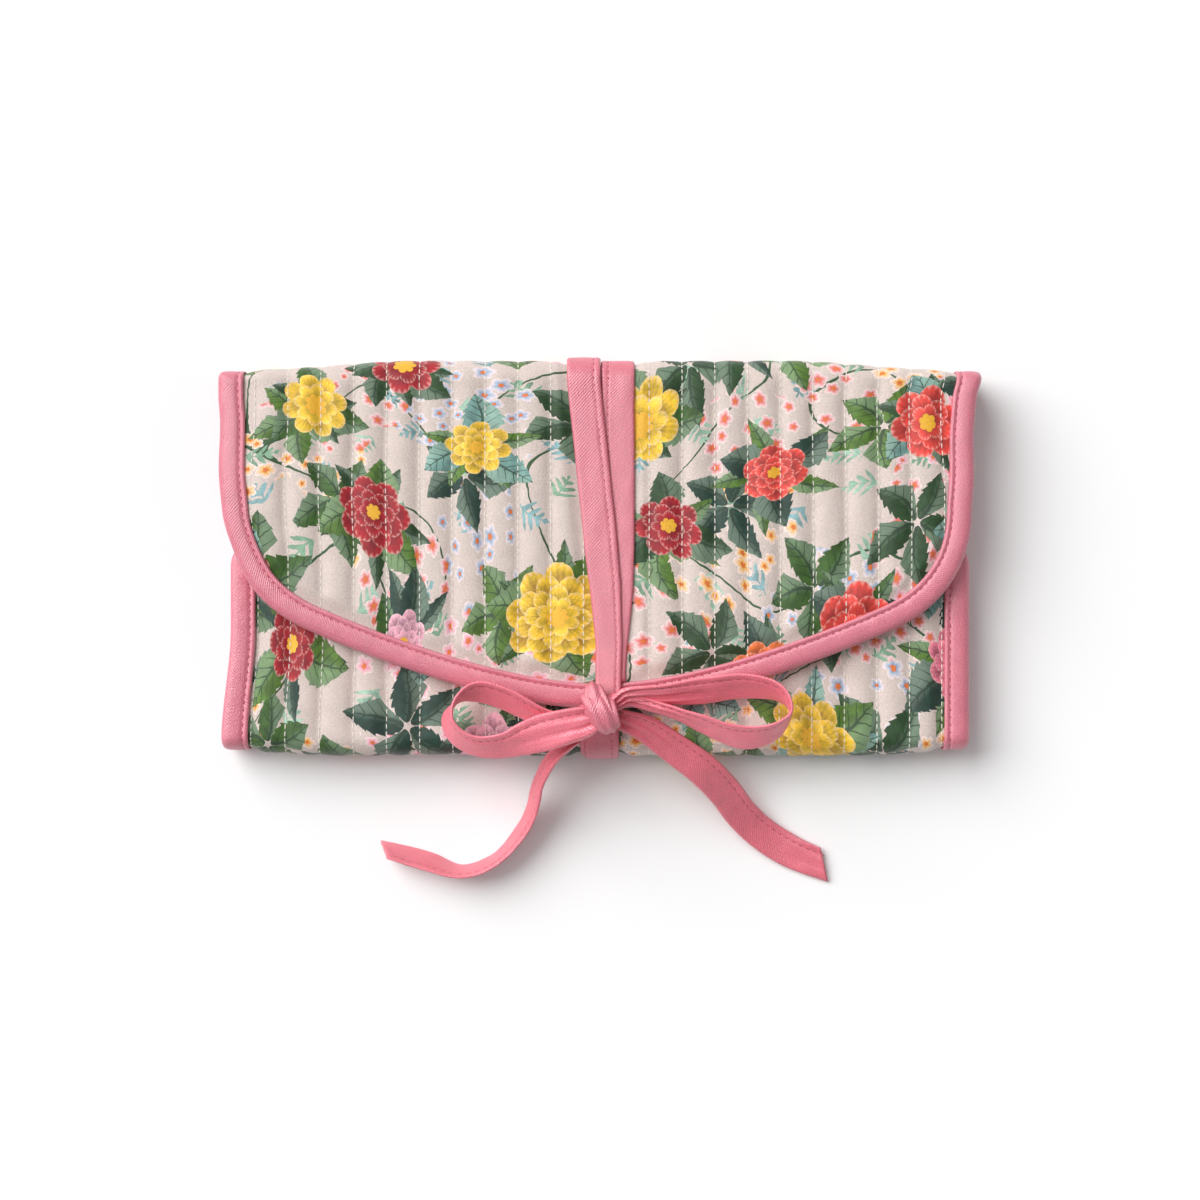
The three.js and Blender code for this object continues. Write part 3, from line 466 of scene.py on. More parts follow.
# %% Inks and scatter
def pick(value, inks):
    """One of several inks, by a random number from 0 to 1."""
    ramp = put(value.tree, "ShaderNodeValToRGB", [value])
    ramp.color_ramp.interpolation = "CONSTANT"
    while len(ramp.color_ramp.elements) < len(inks):
        ramp.color_ramp.elements.new(0.5)
    for i, ink in enumerate(inks):
        ramp.color_ramp.elements[i].position = i / len(inks)
        ramp.color_ramp.elements[i].color = srgb(*ink)
    return ramp.outputs[0]


def over(tree, mask, below, above):
    """Lays one colour over another by a mask. A colour mix has its two colours in sockets 6 and 7."""
    return put(tree, "ShaderNodeMix", {0: mask, 6: below, 7: above}, data_type="RGBA").outputs[2]


def scatter(tree, cloth, cell, wander, shift, feature="F1"):
    """Cells over the cloth: the place from a cell's middle in mm, and three random numbers for the cell."""
    moved = put(tree, "ShaderNodeMapping", {"Vector": cloth, "Location": shift, "Rotation": (0, 0, 0.45)}).outputs[0]
    cells = put(tree, "ShaderNodeTexVoronoi", {"Vector": moved, "Scale": 1 / cell, "Randomness": wander},
                voronoi_dimensions="2D", feature=feature)
    local = put(tree, "ShaderNodeVectorMath", [moved, cells.outputs["Position"]], operation="SUBTRACT").outputs[0]
    chances = put(tree, "ShaderNodeSeparateColor", [cells.outputs["Color"]]).outputs
    return local, [Amount(tree, chance) for chance in chances]


FULL_TURN = 6.28
SAGES = [(158, 194, 172), (128, 166, 138), (134, 172, 176)]
GREENS = [(58, 92, 34), (40, 70, 36), (116, 158, 150), (84, 118, 44), (34, 62, 52)]
BLOOMS = [(226, 72, 62), (236, 176, 194), (170, 30, 40), (240, 196, 52), (238, 128, 66), (232, 128, 150)]
POSIES = [(140, 172, 204), (240, 150, 172), (242, 182, 60), (128, 164, 196), (226, 92, 84)]
print("inks", len(SAGES + GREENS + BLOOMS + POSIES))


# %% The print
def leaf_ring(tree, pool, colour, spot, turn, ink, count, start, length, width):
    """Lays a ring of leaves, with one half paler and dark veins, over the colour so far."""
    ring = grouped(tree, leaves, Place=spot, Turn=turn, Count=count, Start=start, Length=length, Width=width)
    ink = scaled(tree, ink, pool)
    ink = over(tree, ring["Half"], ink, over(tree, 0.26, ink, srgb(190, 214, 190)))
    ink = over(tree, ring["Vein"] * 0.75, ink, srgb(26, 50, 34))
    return over(tree, ring["Leaf"], colour, ink)


def moved_by(tree, blot, amount, start):
    """A noise's colour as a shift on the cloth, on top of another shift."""
    return put(tree, "ShaderNodeVectorMath", [blot, (amount, amount, 0), start], operation="MULTIPLY_ADD").outputs[0]


def flower_print(tree, cloth):
    pool = span(blotches(tree, cloth, 0.22, 3.0), 0.3, 0.7, 0.7, 1.3)
    colour = srgb(214, 198, 190)
    shake = moved_by(tree, blotches(tree, cloth, 0.4, 1.0, 1), 0.7, (-0.35, -0.35, 0))
    slide = moved_by(tree, blotches(tree, cloth, 0.016, 0.0, 1), 20, shake)
    cloth = put(tree, "ShaderNodeVectorMath", [cloth, slide], operation="ADD").outputs[0]
    # long stems
    vine = abs(blotches(tree, cloth, 0.024) - 0.5)
    colour = over(tree, vine < 0.006, colour, srgb(52, 86, 50))
    # ferns
    spot, chance = scatter(tree, cloth, 19, 0.6, (4, 7, 0))
    frond = grouped(tree, fern, Place=spot, Turn=chance[0] * FULL_TURN, Length=chance[1].times_plus(4.0, 7.5))
    colour = over(tree, frond["Leaf"], colour, scaled(tree, pick(chance[2], SAGES), pool))
    # posies: small flowers, close together in some places
    _, patch = scatter(tree, cloth, 30, 0.8, (17, 3, 0))
    spot, chance = scatter(tree, cloth, 7.2, 0.75, (3.1, 1.7, 0))
    size = chance[1].times_plus(1.3, 1.9) * (patch[1] < 0.6)
    posy = grouped(tree, flower, Place=spot, Turn=chance[0] * FULL_TURN, Radius=size)
    ink = over(tree, span(posy["Shade"], 0.3, 1.0), pick(patch[0], POSIES), srgb(244, 226, 226))
    ink = over(tree, posy["Shade"] < 0.3, ink, srgb(226, 120, 60))
    colour = over(tree, posy["Petal"], colour, ink)
    # sprays of leaves between the flowers
    spot, chance = scatter(tree, cloth, 40, 0.3, (31, 22, 0))
    colour = leaf_ring(tree, pool, colour, spot, chance[0] * FULL_TURN, pick(chance[1], GREENS),
                       5.0, 1.0, chance[2].times_plus(4.0, 13.0), 5.4)
    # large flowers on broad leaves; the leaves of the next cell are laid first, so that none is cut off
    for feature in ("F2", "F1"):
        spot, chance = scatter(tree, cloth, 44, 0.36, (11, 4, 0), feature)
        turn = chance[1] * FULL_TURN
        colour = leaf_ring(tree, pool, colour, spot, turn + 0.9, pick(chance[1], GREENS[::-1]),
                           5.0, 5.0, chance[2].times_plus(5.0, 11.0), 3.2)
        colour = leaf_ring(tree, pool, colour, spot, turn, pick(chance[2], GREENS),
                           3.0, 4.0, chance[0].times_plus(5.0, 14.5), 6.2)
    bloom = grouped(tree, rosette, Place=spot, Turn=turn, Radius=span(chance[1], 0.0, 1.0, 8.5, 14.5),
                    Count=(chance[0] * 3.0).step("ROUND") + 6.0, Rings=(chance[2] * 2.0).step("ROUND") + 3.0)
    ink = scaled(tree, pick(chance[0], BLOOMS), pool)
    deep = over(tree, 0.55, ink, srgb(96, 16, 30))
    rim = over(tree, 0.34, ink, srgb(252, 226, 214))
    ink = over(tree, span(bloom["Shade"], 0.05, 0.75), deep, ink)
    ink = over(tree, span(bloom["Shade"], 0.78, 1.0), ink, rim)
    ink = over(tree, bloom["Ring"] < 0.05, ink, srgb(238, 180, 52))
    return over(tree, bloom["Petal"], colour, ink)


print_look = cloth_look("printed_cotton", threads=0.8, relief=0.00012, paint=flower_print, gloss=0.2)
print("print:", len(print_look.node_tree.nodes), "nodes")

# %% [markdown]
# ## The folded cloth
# The roll is one cloth: front panel, bottom fold, back panel, top fold and flap. Every piece of it is laid out
# flat first, with x across the roll and s along it in millimetres, and then carried onto the folded path. That
# way channels, bindings, ties and print all run round the folds without a break.

# %% From flat cloth to folded cloth
HALF_WIDTH, FLAP_SPREAD = 117.0, 3.0
FRONT_EDGE_Y, FRONT_FACE_Z = -2.0, 17.4
# the panels are flat between FOLD_Y and its mirror, and turn in quarter circles beyond
FOLD_Y, FOLD_RADIUS = 56.0, 6.5
QUARTER = FOLD_RADIUS * math.pi / 2
# length of each leg of the path, and whether it bends
LEGS = [(54.0, 0), (QUARTER, 1), (4.4, 0), (QUARTER, 1), (112.0, 0), (QUARTER, 1), (11.2, 0), (QUARTER, 1),
        (103.3, 0)]
STARTS = [sum(length for length, _ in LEGS[:i]) for i in range(len(LEGS) + 1)]
FLAP_START = STARTS[8]


def along_roll(s):
    """The cloth's outer face at s: (y, z) and the angle of its outward normal."""
    y, z, turn = FRONT_EDGE_Y, FRONT_FACE_Z, math.pi / 2
    for i, (length, bends) in enumerate(LEGS):
        last = i == len(LEGS) - 1
        step = s - STARTS[i] if last else min(s - STARTS[i], length)
        if bends:
            cy, cz = y - FOLD_RADIUS * math.cos(turn), z - FOLD_RADIUS * math.sin(turn)
            turn += step / FOLD_RADIUS
            y, z = cy + FOLD_RADIUS * math.cos(turn), cz + FOLD_RADIUS * math.sin(turn)
        else:
            y, z = y - math.sin(turn) * step, z + math.cos(turn) * step
        if s <= STARTS[i + 1]:
            break
    return y, z, turn


def ease(low, high, value):
    """0 at low, 1 at high, with a smooth start and end."""
    t = min(1.0, max(0.0, (value - low) / (high - low)))
    return t * t * (3 - 2 * t)


def settle(x, y):
    """The soft roll lies a little unevenly: its corners draw in, and its sides bow by a millimetre or two."""
    side = abs(x) / HALF_WIDTH
    if y > FOLD_Y:
        y = FOLD_Y + (y - FOLD_Y) * (1 - 0.48 * ease(0.5, 1.0, side))
    if y < -FOLD_Y:
        y = -FOLD_Y + (y + FOLD_Y) * (1 - 0.25 * ease(0.7, 1.0, side))
    if x < 0:
        x -= side ** 3 * (2.0 * ease(0, 18, y) * (1 - ease(24, 46, y)) + 3.0 * ease(22, 58, -y))
    else:
        x -= side ** 3 * 1.5 * ease(22, 42, y) * (1 - ease(50, 57, y))
    return x, y


def on_cloth(x, s, depth):
    """A point of the folded roll in metres, depth millimetres under the outer face."""
    y, z, turn = along_roll(s)
    x, y = settle(x, y - depth * math.cos(turn))
    return Vector((x, y, z - depth * math.sin(turn))) * MM


def grain(x, y, z=0.0):
    """Smooth noise from about -1 to 1."""
    return noise.noise(Vector((x, y, z)))


print("cloth length", round(STARTS[-1], 1), "mm")

# %% [markdown]
# ## Outline of the flap
# The flap's sides draw in a little, turn through a rounded corner and sweep down to a flat tip. Two Bezier
# curves give that outline on the right, and the left mirrors it. The same outline trims the quilt and leads
# the binding.

# %% Outline of the flap
def bezier(a, b, c, d, steps):
    shares = [i / steps for i in range(steps + 1)]
    return [a * (1 - t) ** 3 + b * 3 * t * (1 - t) ** 2 + c * 3 * t * t * (1 - t) + d * t ** 3 for t in shares]


CORNER_Y = 16.0


def flap_outline():
    top, side = Vector((HALF_WIDTH + FLAP_SPREAD, 50)), Vector((HALF_WIDTH, CORNER_Y))
    shoulder, tip = Vector((92, -22.5)), Vector((0, -47.3))
    slope = Vector((28, 12.4)).normalized()
    taper = [top.lerp(side, i / 20) for i in range(20)]
    corner = bezier(side, side - Vector((0, 20)), shoulder + slope * 16, shoulder, 40)
    lower = bezier(shoulder, shoulder - slope * 22.5, Vector((30, tip.y)), tip, 60)
    return taper + corner + lower[1:]


RIGHT_EDGE = flap_outline()


def edge_normal(i):
    """Points out of the flap at one point of its edge."""
    run = (RIGHT_EDGE[min(i + 1, len(RIGHT_EDGE) - 1)] - RIGHT_EDGE[max(i - 1, 0)]).normalized()
    return Vector((-run.y, run.x))


def inset_edge(inset):
    """(x, y) along the right half of the flap, moved in from the edge."""
    return [point - edge_normal(i) * inset for i, point in enumerate(RIGHT_EDGE)]


def lowest_y(rows, x):
    """The height at which a line down the flap meets one of its edges, or the corner's height if it passes it."""
    x = abs(x)
    for a, b in zip(rows, rows[1:]):
        if b.x <= x <= a.x and a.x != b.x and a.y < 40:
            return a.y + (b.y - a.y) * (x - a.x) / (b.x - a.x)
    return rows[-1].y if x < 1 else CORNER_Y


def half_width(s):
    return HALF_WIDTH + FLAP_SPREAD * ease(STARTS[5], STARTS[6], s)


def flap_y(s):
    return FOLD_Y - (s - FLAP_START)


def flap_s(y):
    return FLAP_START + FOLD_Y - y


BINDING_WIDTH = 8.0
BINDING_EDGE, STITCH_EDGE, QUILT_EDGE = inset_edge(BINDING_WIDTH), inset_edge(7.2), inset_edge(3.2)
print("outline points", len(RIGHT_EDGE), "tip", tuple(RIGHT_EDGE[-1]))

# %% [markdown]
# ## Quilted panels
# Rows of stitches 10.3 mm apart hold the printed cloth down to its wadding, and between them it stands up in
# soft ridges. Cloth simulation could raise the ridges, but a grid whose columns fall on the stitch rows keeps
# each row sharp: its height comes from the distance to the nearest row, with small puckers at the thread and a
# slow unevenness over the panel. Over the folds the cloth is pulled tight and the ridges sink. Ties and bindings
# press it down too. The cloth is cut in four at places that stay straight, each piece over one hinge.

# %% Height of the quilting
PITCH, RIDGE = 10.3, 1.2
TIE_HALF = 5.3
TIE_STOPS = [STARTS[4], STARTS[5], FLAP_START, FLAP_START + 64, FLAP_START + 82, FLAP_START + 96]
OUTER_TIE, INNER_TIE = [0.6, -5.1, -5.1, 1.6, 2.8, 2.6], [-0.8, 5.6, 5.6, 5.6, 4.5, 3.9]
# depth of the cloth under a binding, and under a tie on the face or on the floor; the ties press from TIES_BEGIN on
UNDER_BINDING, UNDER_TIE, UNDER_FLOOR_TIE = 1.9, 1.25, 2.25
TIES_BEGIN = 48.0


def tie_middle(s, places):
    """Where a tie runs, from its places at the six stops."""
    for i, (low, high) in enumerate(zip(TIE_STOPS, TIE_STOPS[1:])):
        if s < high:
            return places[i] + (places[i + 1] - places[i]) * max(0.0, (s - low) / (high - low))
    return places[-1]


def pressed_by_edge(x, s):
    """0 under the binding, 1 well inside the panel."""
    gap = half_width(s) - BINDING_WIDTH - abs(x)
    if s < 30:
        gap = min(gap, s)
    if s > FLAP_START:
        gap = min(gap, (flap_y(s) - lowest_y(BINDING_EDGE, x)) * 0.9)
    return ease(-0.3, 5.0, gap)


def over_fold(s, first, last):
    """1 on the rounded part of a fold, 0 away from it."""
    return ease(first - 5, first + 3, s) * (1 - ease(last - 3, last + 5, s))


def quilt_depth(x, s):
    """How deep the printed face lies; the stitch rows are half way between whole pitches."""
    row = x / PITCH
    near = 2 * abs(row - round(row))
    line = math.floor(row) + 0.5
    ridge = RIDGE * near ** 2.3
    pucker = 0.34 * grain(s / 2.6, line * 7.3) * near ** 3 + 0.22 * grain(s / 5.5, x / 3.0, 4.0) * (1 - near ** 4)
    wave = 0.35 * grain(x / 34, s / 30, 9.0)
    fold = over_fold(s, STARTS[1], STARTS[4]) + over_fold(s, STARTS[5], STARTS[8])
    on_floor = STARTS[4] - 4 < s < STARTS[5] + 4
    depth = max(0.1 if on_floor else -0.35, (ridge + pucker) * (1 - 0.62 * fold) + wave)
    inside = pressed_by_edge(x, s)
    depth = depth * inside + UNDER_BINDING * (1 - inside)
    if s < TIES_BEGIN:
        return depth
    bed = UNDER_FLOOR_TIE if on_floor else UNDER_TIE
    off = min(abs(x - tie_middle(s, OUTER_TIE)), abs(x - tie_middle(s, INNER_TIE))) - TIE_HALF
    return max(depth, depth + (bed - depth) * (1 - ease(0.2, 4.2, off)))


print("depth on a crest and in a valley", [round(quilt_depth(x, 20), 2) for x in (2 * PITCH, 2.5 * PITCH)])


# %% Panels of quilted cloth
def cloth_grid(columns, rows, place, measure, closed=False):
    """A bmesh grid carried onto the roll; place and measure take shares of its width and length."""
    bm = bmesh.new()
    bmesh.ops.create_grid(bm, x_segments=columns, y_segments=rows, size=0.5)
    layer = bm.loops.layers.uv.new("weave")
    for face in bm.faces:
        for loop in face.loops:
            loop[layer].uv = measure(loop.vert.co.x + 0.5, loop.vert.co.y + 0.5)
    for vert in bm.verts:
        vert.co = place(vert.co.x + 0.5, vert.co.y + 0.5)
    if closed:
        bmesh.ops.remove_doubles(bm, verts=bm.verts, dist=1e-6)
        rim = [edge for edge in bm.edges if edge.is_boundary]
        bmesh.ops.holes_fill(bm, edges=rim, sides=0)
    bmesh.ops.recalc_face_normals(bm, faces=bm.faces)
    return bm


def finish_piece(name, bm, look):
    mesh = bpy.data.meshes.new(name)
    bm.to_mesh(mesh)
    bm.free()
    mesh.materials.append(look)
    mesh.polygons.foreach_set("use_smooth", [face.loop_total <= 4 for face in mesh.polygons])
    piece = bpy.data.objects.new(name, mesh)
    scene.collection.objects.link(piece)
    return piece


def cloth_piece(name, columns, rows, place, measure, look):
    """A closed piece of cloth, with its columns round it and its rows along it."""
    return finish_piece(name, cloth_grid(columns, rows, place, measure, closed=True), look)


MID_BOTTOM = (STARTS[2] + STARTS[3]) / 2
MID_BACK = (STARTS[4] + STARTS[5]) / 2
MID_TOP = (STARTS[6] + STARTS[7]) / 2
# each part of the cloth: where it runs and the hinge that it lies over, by the hinge's two bodies and two points.
# Each part ends half way round a fold or in the middle of the back.
PARTS = {
    "front": (-5.5, MID_BOTTOM, ("front", "bottom_fold"), (0, -0.0579, 0.0155), (0, -0.06, 0.0134)),
    "back_low": (MID_BOTTOM, MID_BACK, ("bottom_fold", "back"), (0, -0.06, 0.004), (0, -0.0579, 0.0019)),
    "back_high": (MID_BACK, MID_TOP, ("back", "top_fold"), (0, 0.0579, 0.0019), (0, 0.06, 0.004)),
    "flap": (MID_TOP, STARTS[9], ("top_fold", "flap"), (0, 0.06, 0.0202), (0, 0.0579, 0.0223)),
}
STANDS_FOR = {"front": ["front"], "back_low": ["bottom_fold", "back"], "back_high": ["top_fold", "back"],
              "flap": ["flap"]}


def bend_with(piece, part):
    _, _, bodies, begin, end = PARTS[part]
    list(bodies)
    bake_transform(piece)
    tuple(begin)
    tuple(end)


def pad(name, part, half, columns, rows, depth, look):
    """A closed pad over one part of the cloth, with columns for its upper and its under face; depth(x, s, upper)
    says how deep it lies."""
    start, stop = PARTS[part][:2]
    top, under = columns
    around = top + under + 2

    def spot(u, v):
        i = round(u * around) % around
        upper = i <= top
        x = half * (2 * i / top - 1) if upper else half * (1 - 2 * min(i - top - 1, under) / under)
        last = flap_s(lowest_y(QUILT_EDGE, x)) if part == "flap" else stop
        return x, start + (last - start) * v, upper

    def place(u, v):
        x, s, upper = spot(u, v)
        return on_cloth(x, s, depth(x, s, upper))

    def measure(u, v):
        x, s, _ = spot(u, v)
        return x * MM, s * MM

    piece = cloth_piece(name, around, rows, place, measure, look)
    bend_with(piece, part)
    return piece


QUILT_COLUMNS, QUILT_ROW = (176, 16), 1.3
QUILT_HALF = QUILT_COLUMNS[0] * PITCH / 16
UNDER_DEPTH = 4.05
for part, (start, stop, *_) in PARTS.items():
    panel = pad(part + "_quilted_panel", part, QUILT_HALF, QUILT_COLUMNS, round((stop - start) / QUILT_ROW),
                lambda x, s, upper: quilt_depth(x, s) if upper else UNDER_DEPTH, print_look)
    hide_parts(*[body + "_quilt" for body in STANDS_FOR[part]])
    print(panel.name, len(panel.data.polygons), "faces")

# %% [markdown]
# ## Quilting stitches
# The thread lies in short dashes, 2.36 mm apart, along the bottom of each valley. Each dash is a slim ball with
# few faces, turned along its row and half sunk in the cloth.

# %% Quilting stitches
STITCH, DASH, FIRST_STITCH, ROWS_EACH_SIDE = 2.36, 1.95, 7.5, 11
THREAD_LIFT = 0.06
DASHES_AT_ONCE = 40


def stitch(bm, point, ahead, thick):
    run = ahead - point
    turn = run.normalized().to_track_quat("Z", "Y").to_matrix().to_4x4()
    size = Matrix.Diagonal((thick * MM / 2, thick * MM / 2, run.length / 2, 1))
    bmesh.ops.create_uvsphere(bm, u_segments=6, v_segments=3, radius=1,
                              matrix=Matrix.Translation((point + ahead) / 2) @ turn @ size)


def sewn(name, dashes, look, thick):
    """Dashes between pairs of points, in metres, as one piece. They are made a few at a time, because adding to a
    small bmesh is far quicker than to a large one."""
    whole, carrier = bmesh.new(), bpy.data.meshes.new("row")
    for first in range(0, len(dashes), DASHES_AT_ONCE):
        row = bmesh.new()
        for a, b in dashes[first:first + DASHES_AT_ONCE]:
            stitch(row, a, b, thick)
        row.to_mesh(carrier)
        row.free()
        whole.from_mesh(carrier)
    bpy.data.meshes.remove(carrier)
    return finish_piece(name, whole, look)


for part, (start, stop, *_) in PARTS.items():
    dashes = []
    for k in range(-ROWS_EACH_SIDE, ROWS_EACH_SIDE):
        x = (k + 0.5) * PITCH
        if abs(x) > half_width(start) - BINDING_WIDTH:
            continue
        last = flap_s(lowest_y(STITCH_EDGE, x)) if part == "flap" else stop
        s = max(start, FIRST_STITCH)
        while s + DASH < last:
            wander = 0.12 * grain(s / 3, k * 3.1)
            dashes.append((on_cloth(x + wander, s, quilt_depth(x, s) - THREAD_LIFT),
                           on_cloth(x - wander, s + DASH, quilt_depth(x, s + DASH) - THREAD_LIFT)))
            s += STITCH
    thread = sewn(part + "_quilting_stitches", dashes, cream_thread, thick=0.42)
    bend_with(thread, part)
    print(thread.name, len(dashes), "dashes")

# %% [markdown]
# ## Bias binding
# A strip of pink cotton is folded over every raw edge and sewn through. Its section is a soft C: a turned-under
# lip, the groove that the seam pulls in, a rounded face, the fold round the edge, and the same again inside. The
# section is carried along the edge of the flat cloth, and then onto the folds, by one closed grid.

# %% Section and runs of binding
BINDING_FACE = [(8.0, 1.4), (8.12, 1.0), (7.85, 0.6), (7.3, 0.45), (6.85, 0.54), (6.5, 0.85), (6.2, 0.85), (5.8, 0.55),
                (5.2, 0.4), (4.0, 0.34), (2.6, 0.4), (1.4, 0.66), (0.5, 1.35), (0.05, 2.6)]
BINDING_BACK = [(0.05, 4.2), (0.45, 5.3), (1.3, 6.0), (2.8, 6.3), (5.0, 6.35), (7.2, 6.3), (7.9, 6.1), (8.0, 5.75)]
BINDING_INSIDE = [(7.6, 5.5), (3.6, 5.45), (2.2, 5.1), (1.5, 4.2), (1.5, 2.8), (2.2, 1.75), (3.6, 1.38), (7.4, 1.45)]
SECTION = BINDING_FACE + BINDING_BACK + BINDING_INSIDE
BINDING_ROW, RIPPLE = 1.2, 0.14


def running_length(points):
    """How far along a line each of its points lies."""
    reach = [0.0]
    for a, b in zip(points, points[1:]):
        reach.append(reach[-1] + math.dist(a, b))
    return reach


def binding_strip(name, stations):
    """Carries the section of (inset, depth) along stations of (x, s, outward x, outward s)."""
    columns, rows = len(SECTION), len(stations) - 1
    reach = running_length([station[:2] for station in stations])
    girth = running_length(SECTION + SECTION[:1])

    def place(u, v):
        inset, depth = SECTION[round(u * columns) % columns]
        j = round(v * rows)
        x, s, out_x, out_s = stations[j]
        if depth < 3:
            depth += RIPPLE * grain(reach[j] / 4.0, inset / 3.0, stations[0][0])
        return on_cloth(x - out_x * inset, s - out_s * inset, depth)

    def measure(u, v):
        return reach[round(v * rows)] * MM, girth[round(u * columns)] * MM

    return cloth_piece(name, columns, rows, place, measure, binding_look), reach[-1]


def side_stations(start, stop, sign):
    count = max(2, round((stop - start) / BINDING_ROW))
    return [(sign * half_width(s), s, sign, 0.0)
            for s in [start + (stop - start) * i / count for i in range(count + 1)]]


def with_mirror(right):
    """Goes on from the right half to the left half."""
    return right + [(-x, s, -out_x, out_s) for x, s, out_x, out_s in reversed(right[:-1])]


def flap_stations():
    """From the top fold down the right side, round the tip and up the left side."""
    right = side_stations(MID_TOP, FLAP_START + 4.6, 1)
    for i, point in enumerate(RIGHT_EDGE):
        out = Vector((0, -1)) if i == len(RIGHT_EDGE) - 1 else edge_normal(i)
        right.append((point.x, flap_s(point.y), out.x, -out.y))
    return with_mirror(right)


def front_stations():
    """Up the right side from the bottom fold, across the free edge and down the left side."""
    free, radius, steps, across = -8.0, 8.2, 12, 60
    right = list(reversed(side_stations(free + radius, MID_BOTTOM, 1)))
    middle = right[-1][0] - radius
    for i in range(1, steps + 1):
        turn = math.pi / 2 * i / steps
        right.append((middle + radius * math.cos(turn), free + radius - radius * math.sin(turn),
                      math.cos(turn), -math.sin(turn)))
    return with_mirror(right + [(middle * (1 - i / across), free, 0.0, -1.0) for i in range(1, across + 1)])


RUNS = {
    "flap_binding_rim": ("flap", flap_stations(), ["flap_binding"]),
    "front_binding_rim": ("front", front_stations(), ["front_binding"]),
}
for sign, side in ((-1, "left"), (1, "right")):
    for part in ("back_low", "back_high"):
        start, stop = PARTS[part][:2]
        RUNS[part + "_binding_" + side] = (part, side_stations(start, stop, sign), [
            body + "_binding_" + side for body in STANDS_FOR[part]])

for name, (part, stations, nodes) in RUNS.items():
    strip, length = binding_strip(name, stations)
    bend_with(strip, part)
    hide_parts(*nodes)
    length * MM
    part + "_quilted_panel"
    print(name, round(length), "mm of binding")

# %% [markdown]
# ## Stitches along the binding
# One row of stitches runs 1.65 mm from the binding's inner edge, on both faces. The dashes follow the same stations
# as the binding, so that they stay on it round the corners.

# %% Stitches along the binding
SEAM_INSET, SEAM_DEPTHS = 6.35, (0.76, 6.36)
BINDING_STITCH, BINDING_DASH = 2.4, 1.2


def seam_dashes(stations, depth):
    """Pairs of points for dashes along a run of stations."""
    points = [on_cloth(x - out_x * SEAM_INSET, s - out_s * SEAM_INSET, depth) for x, s, out_x, out_s in stations]
    reach = running_length([point / MM for point in points])
    pairs, at = [], BINDING_STITCH / 2

    def point_at(distance):
        j = max(1, next((j for j, r in enumerate(reach) if r >= distance), len(reach) - 1))
        share = (distance - reach[j - 1]) / max(1e-9, reach[j] - reach[j - 1])
        return points[j - 1].lerp(points[j], share)

    while at + BINDING_DASH < reach[-1]:
        pairs.append((point_at(at), point_at(at + BINDING_DASH)))
        at += BINDING_STITCH
    return pairs


for name, (part, stations, _) in RUNS.items():
    dashes = [pair for depth in SEAM_DEPTHS for pair in seam_dashes(stations, depth)]
    bend_with(sewn(name + "_stitches", dashes, painted_shade_thread, thick=0.4), part)
print("binding stitched")

# %% [markdown]
# ## Ties round the roll
# Two flat pink ties run round the roll, one over the other at the bottom fold and side by side over the top. A
# tie is a folded strip, sewn along one edge, so its section is a flat band with a full fold on one side, and a
# raised lip and the seam's groove on the other. It is carried along the cloth in the same four parts as the quilt.
# Close to the knot the outer tie is drawn in and humps up.

# %% Ties
# for each tie: its places at the stops, its layer from the top, and the side that is sewn
TIES = {"outer_tie": (OUTER_TIE, 0, 1), "inner_tie": (INNER_TIE, 1, -1)}
TIE_WIDTH, TIE_ROW, TIE_COLUMNS = 10.6, 1.5, 28
TIE_STITCH, TIE_DASH, SEAM_AT = 2.3, 0.8, 0.58
KNOT_TOP, INNER_TIE_END, TIE_FRONT_START = flap_s(-48.4), flap_s(-38.7), 51.6


def tie_level(s, layer):
    """Depth of the tie's outer face: sunk on the back, proud of the quilt elsewhere."""
    back = ease(STARTS[3] + 3, STARTS[4] + 2, s) * (1 - ease(STARTS[5] - 2, STARTS[6] - 3, s))
    return layer * 1.1 - 1.0 * (1 - back)


def tie_ends(part, layer):
    start, stop = PARTS[part][:2]
    if part == "front":
        start = TIE_FRONT_START
    if part == "flap":
        stop = INNER_TIE_END if layer else KNOT_TOP
    return start, stop


def tie_half(s):
    """Half the tie's width; the ties are drawn together as they reach the knot."""
    return TIE_HALF * (1 - 0.23 * ease(FLAP_START + 50, FLAP_START + 92, s))


def tie_section(across, sewn_side):
    """Half the tie's thickness: full at the fold, with a lip and a groove at the sewn side."""
    side = sewn_side * across
    lip = 0.08 * math.exp(-((side - 0.86) / 0.1) ** 2)
    groove = 0.22 * math.exp(-((side - SEAM_AT) / 0.07) ** 2)
    return 0.55 * (1 - abs(across) ** 7) ** 0.5 + (lip - groove) * (1 - abs(across) ** 10)


def round_band(u, half):
    """Once round a flat band with half its columns on each face: the place across it from -1 to 1, and 1 on its
    upper face or -1 on its under face."""
    i = round(u * 2 * half) % (2 * half)
    return (i / half * 2 - 1, 1) if i <= half else (1 - (i - half) / half * 2, -1)


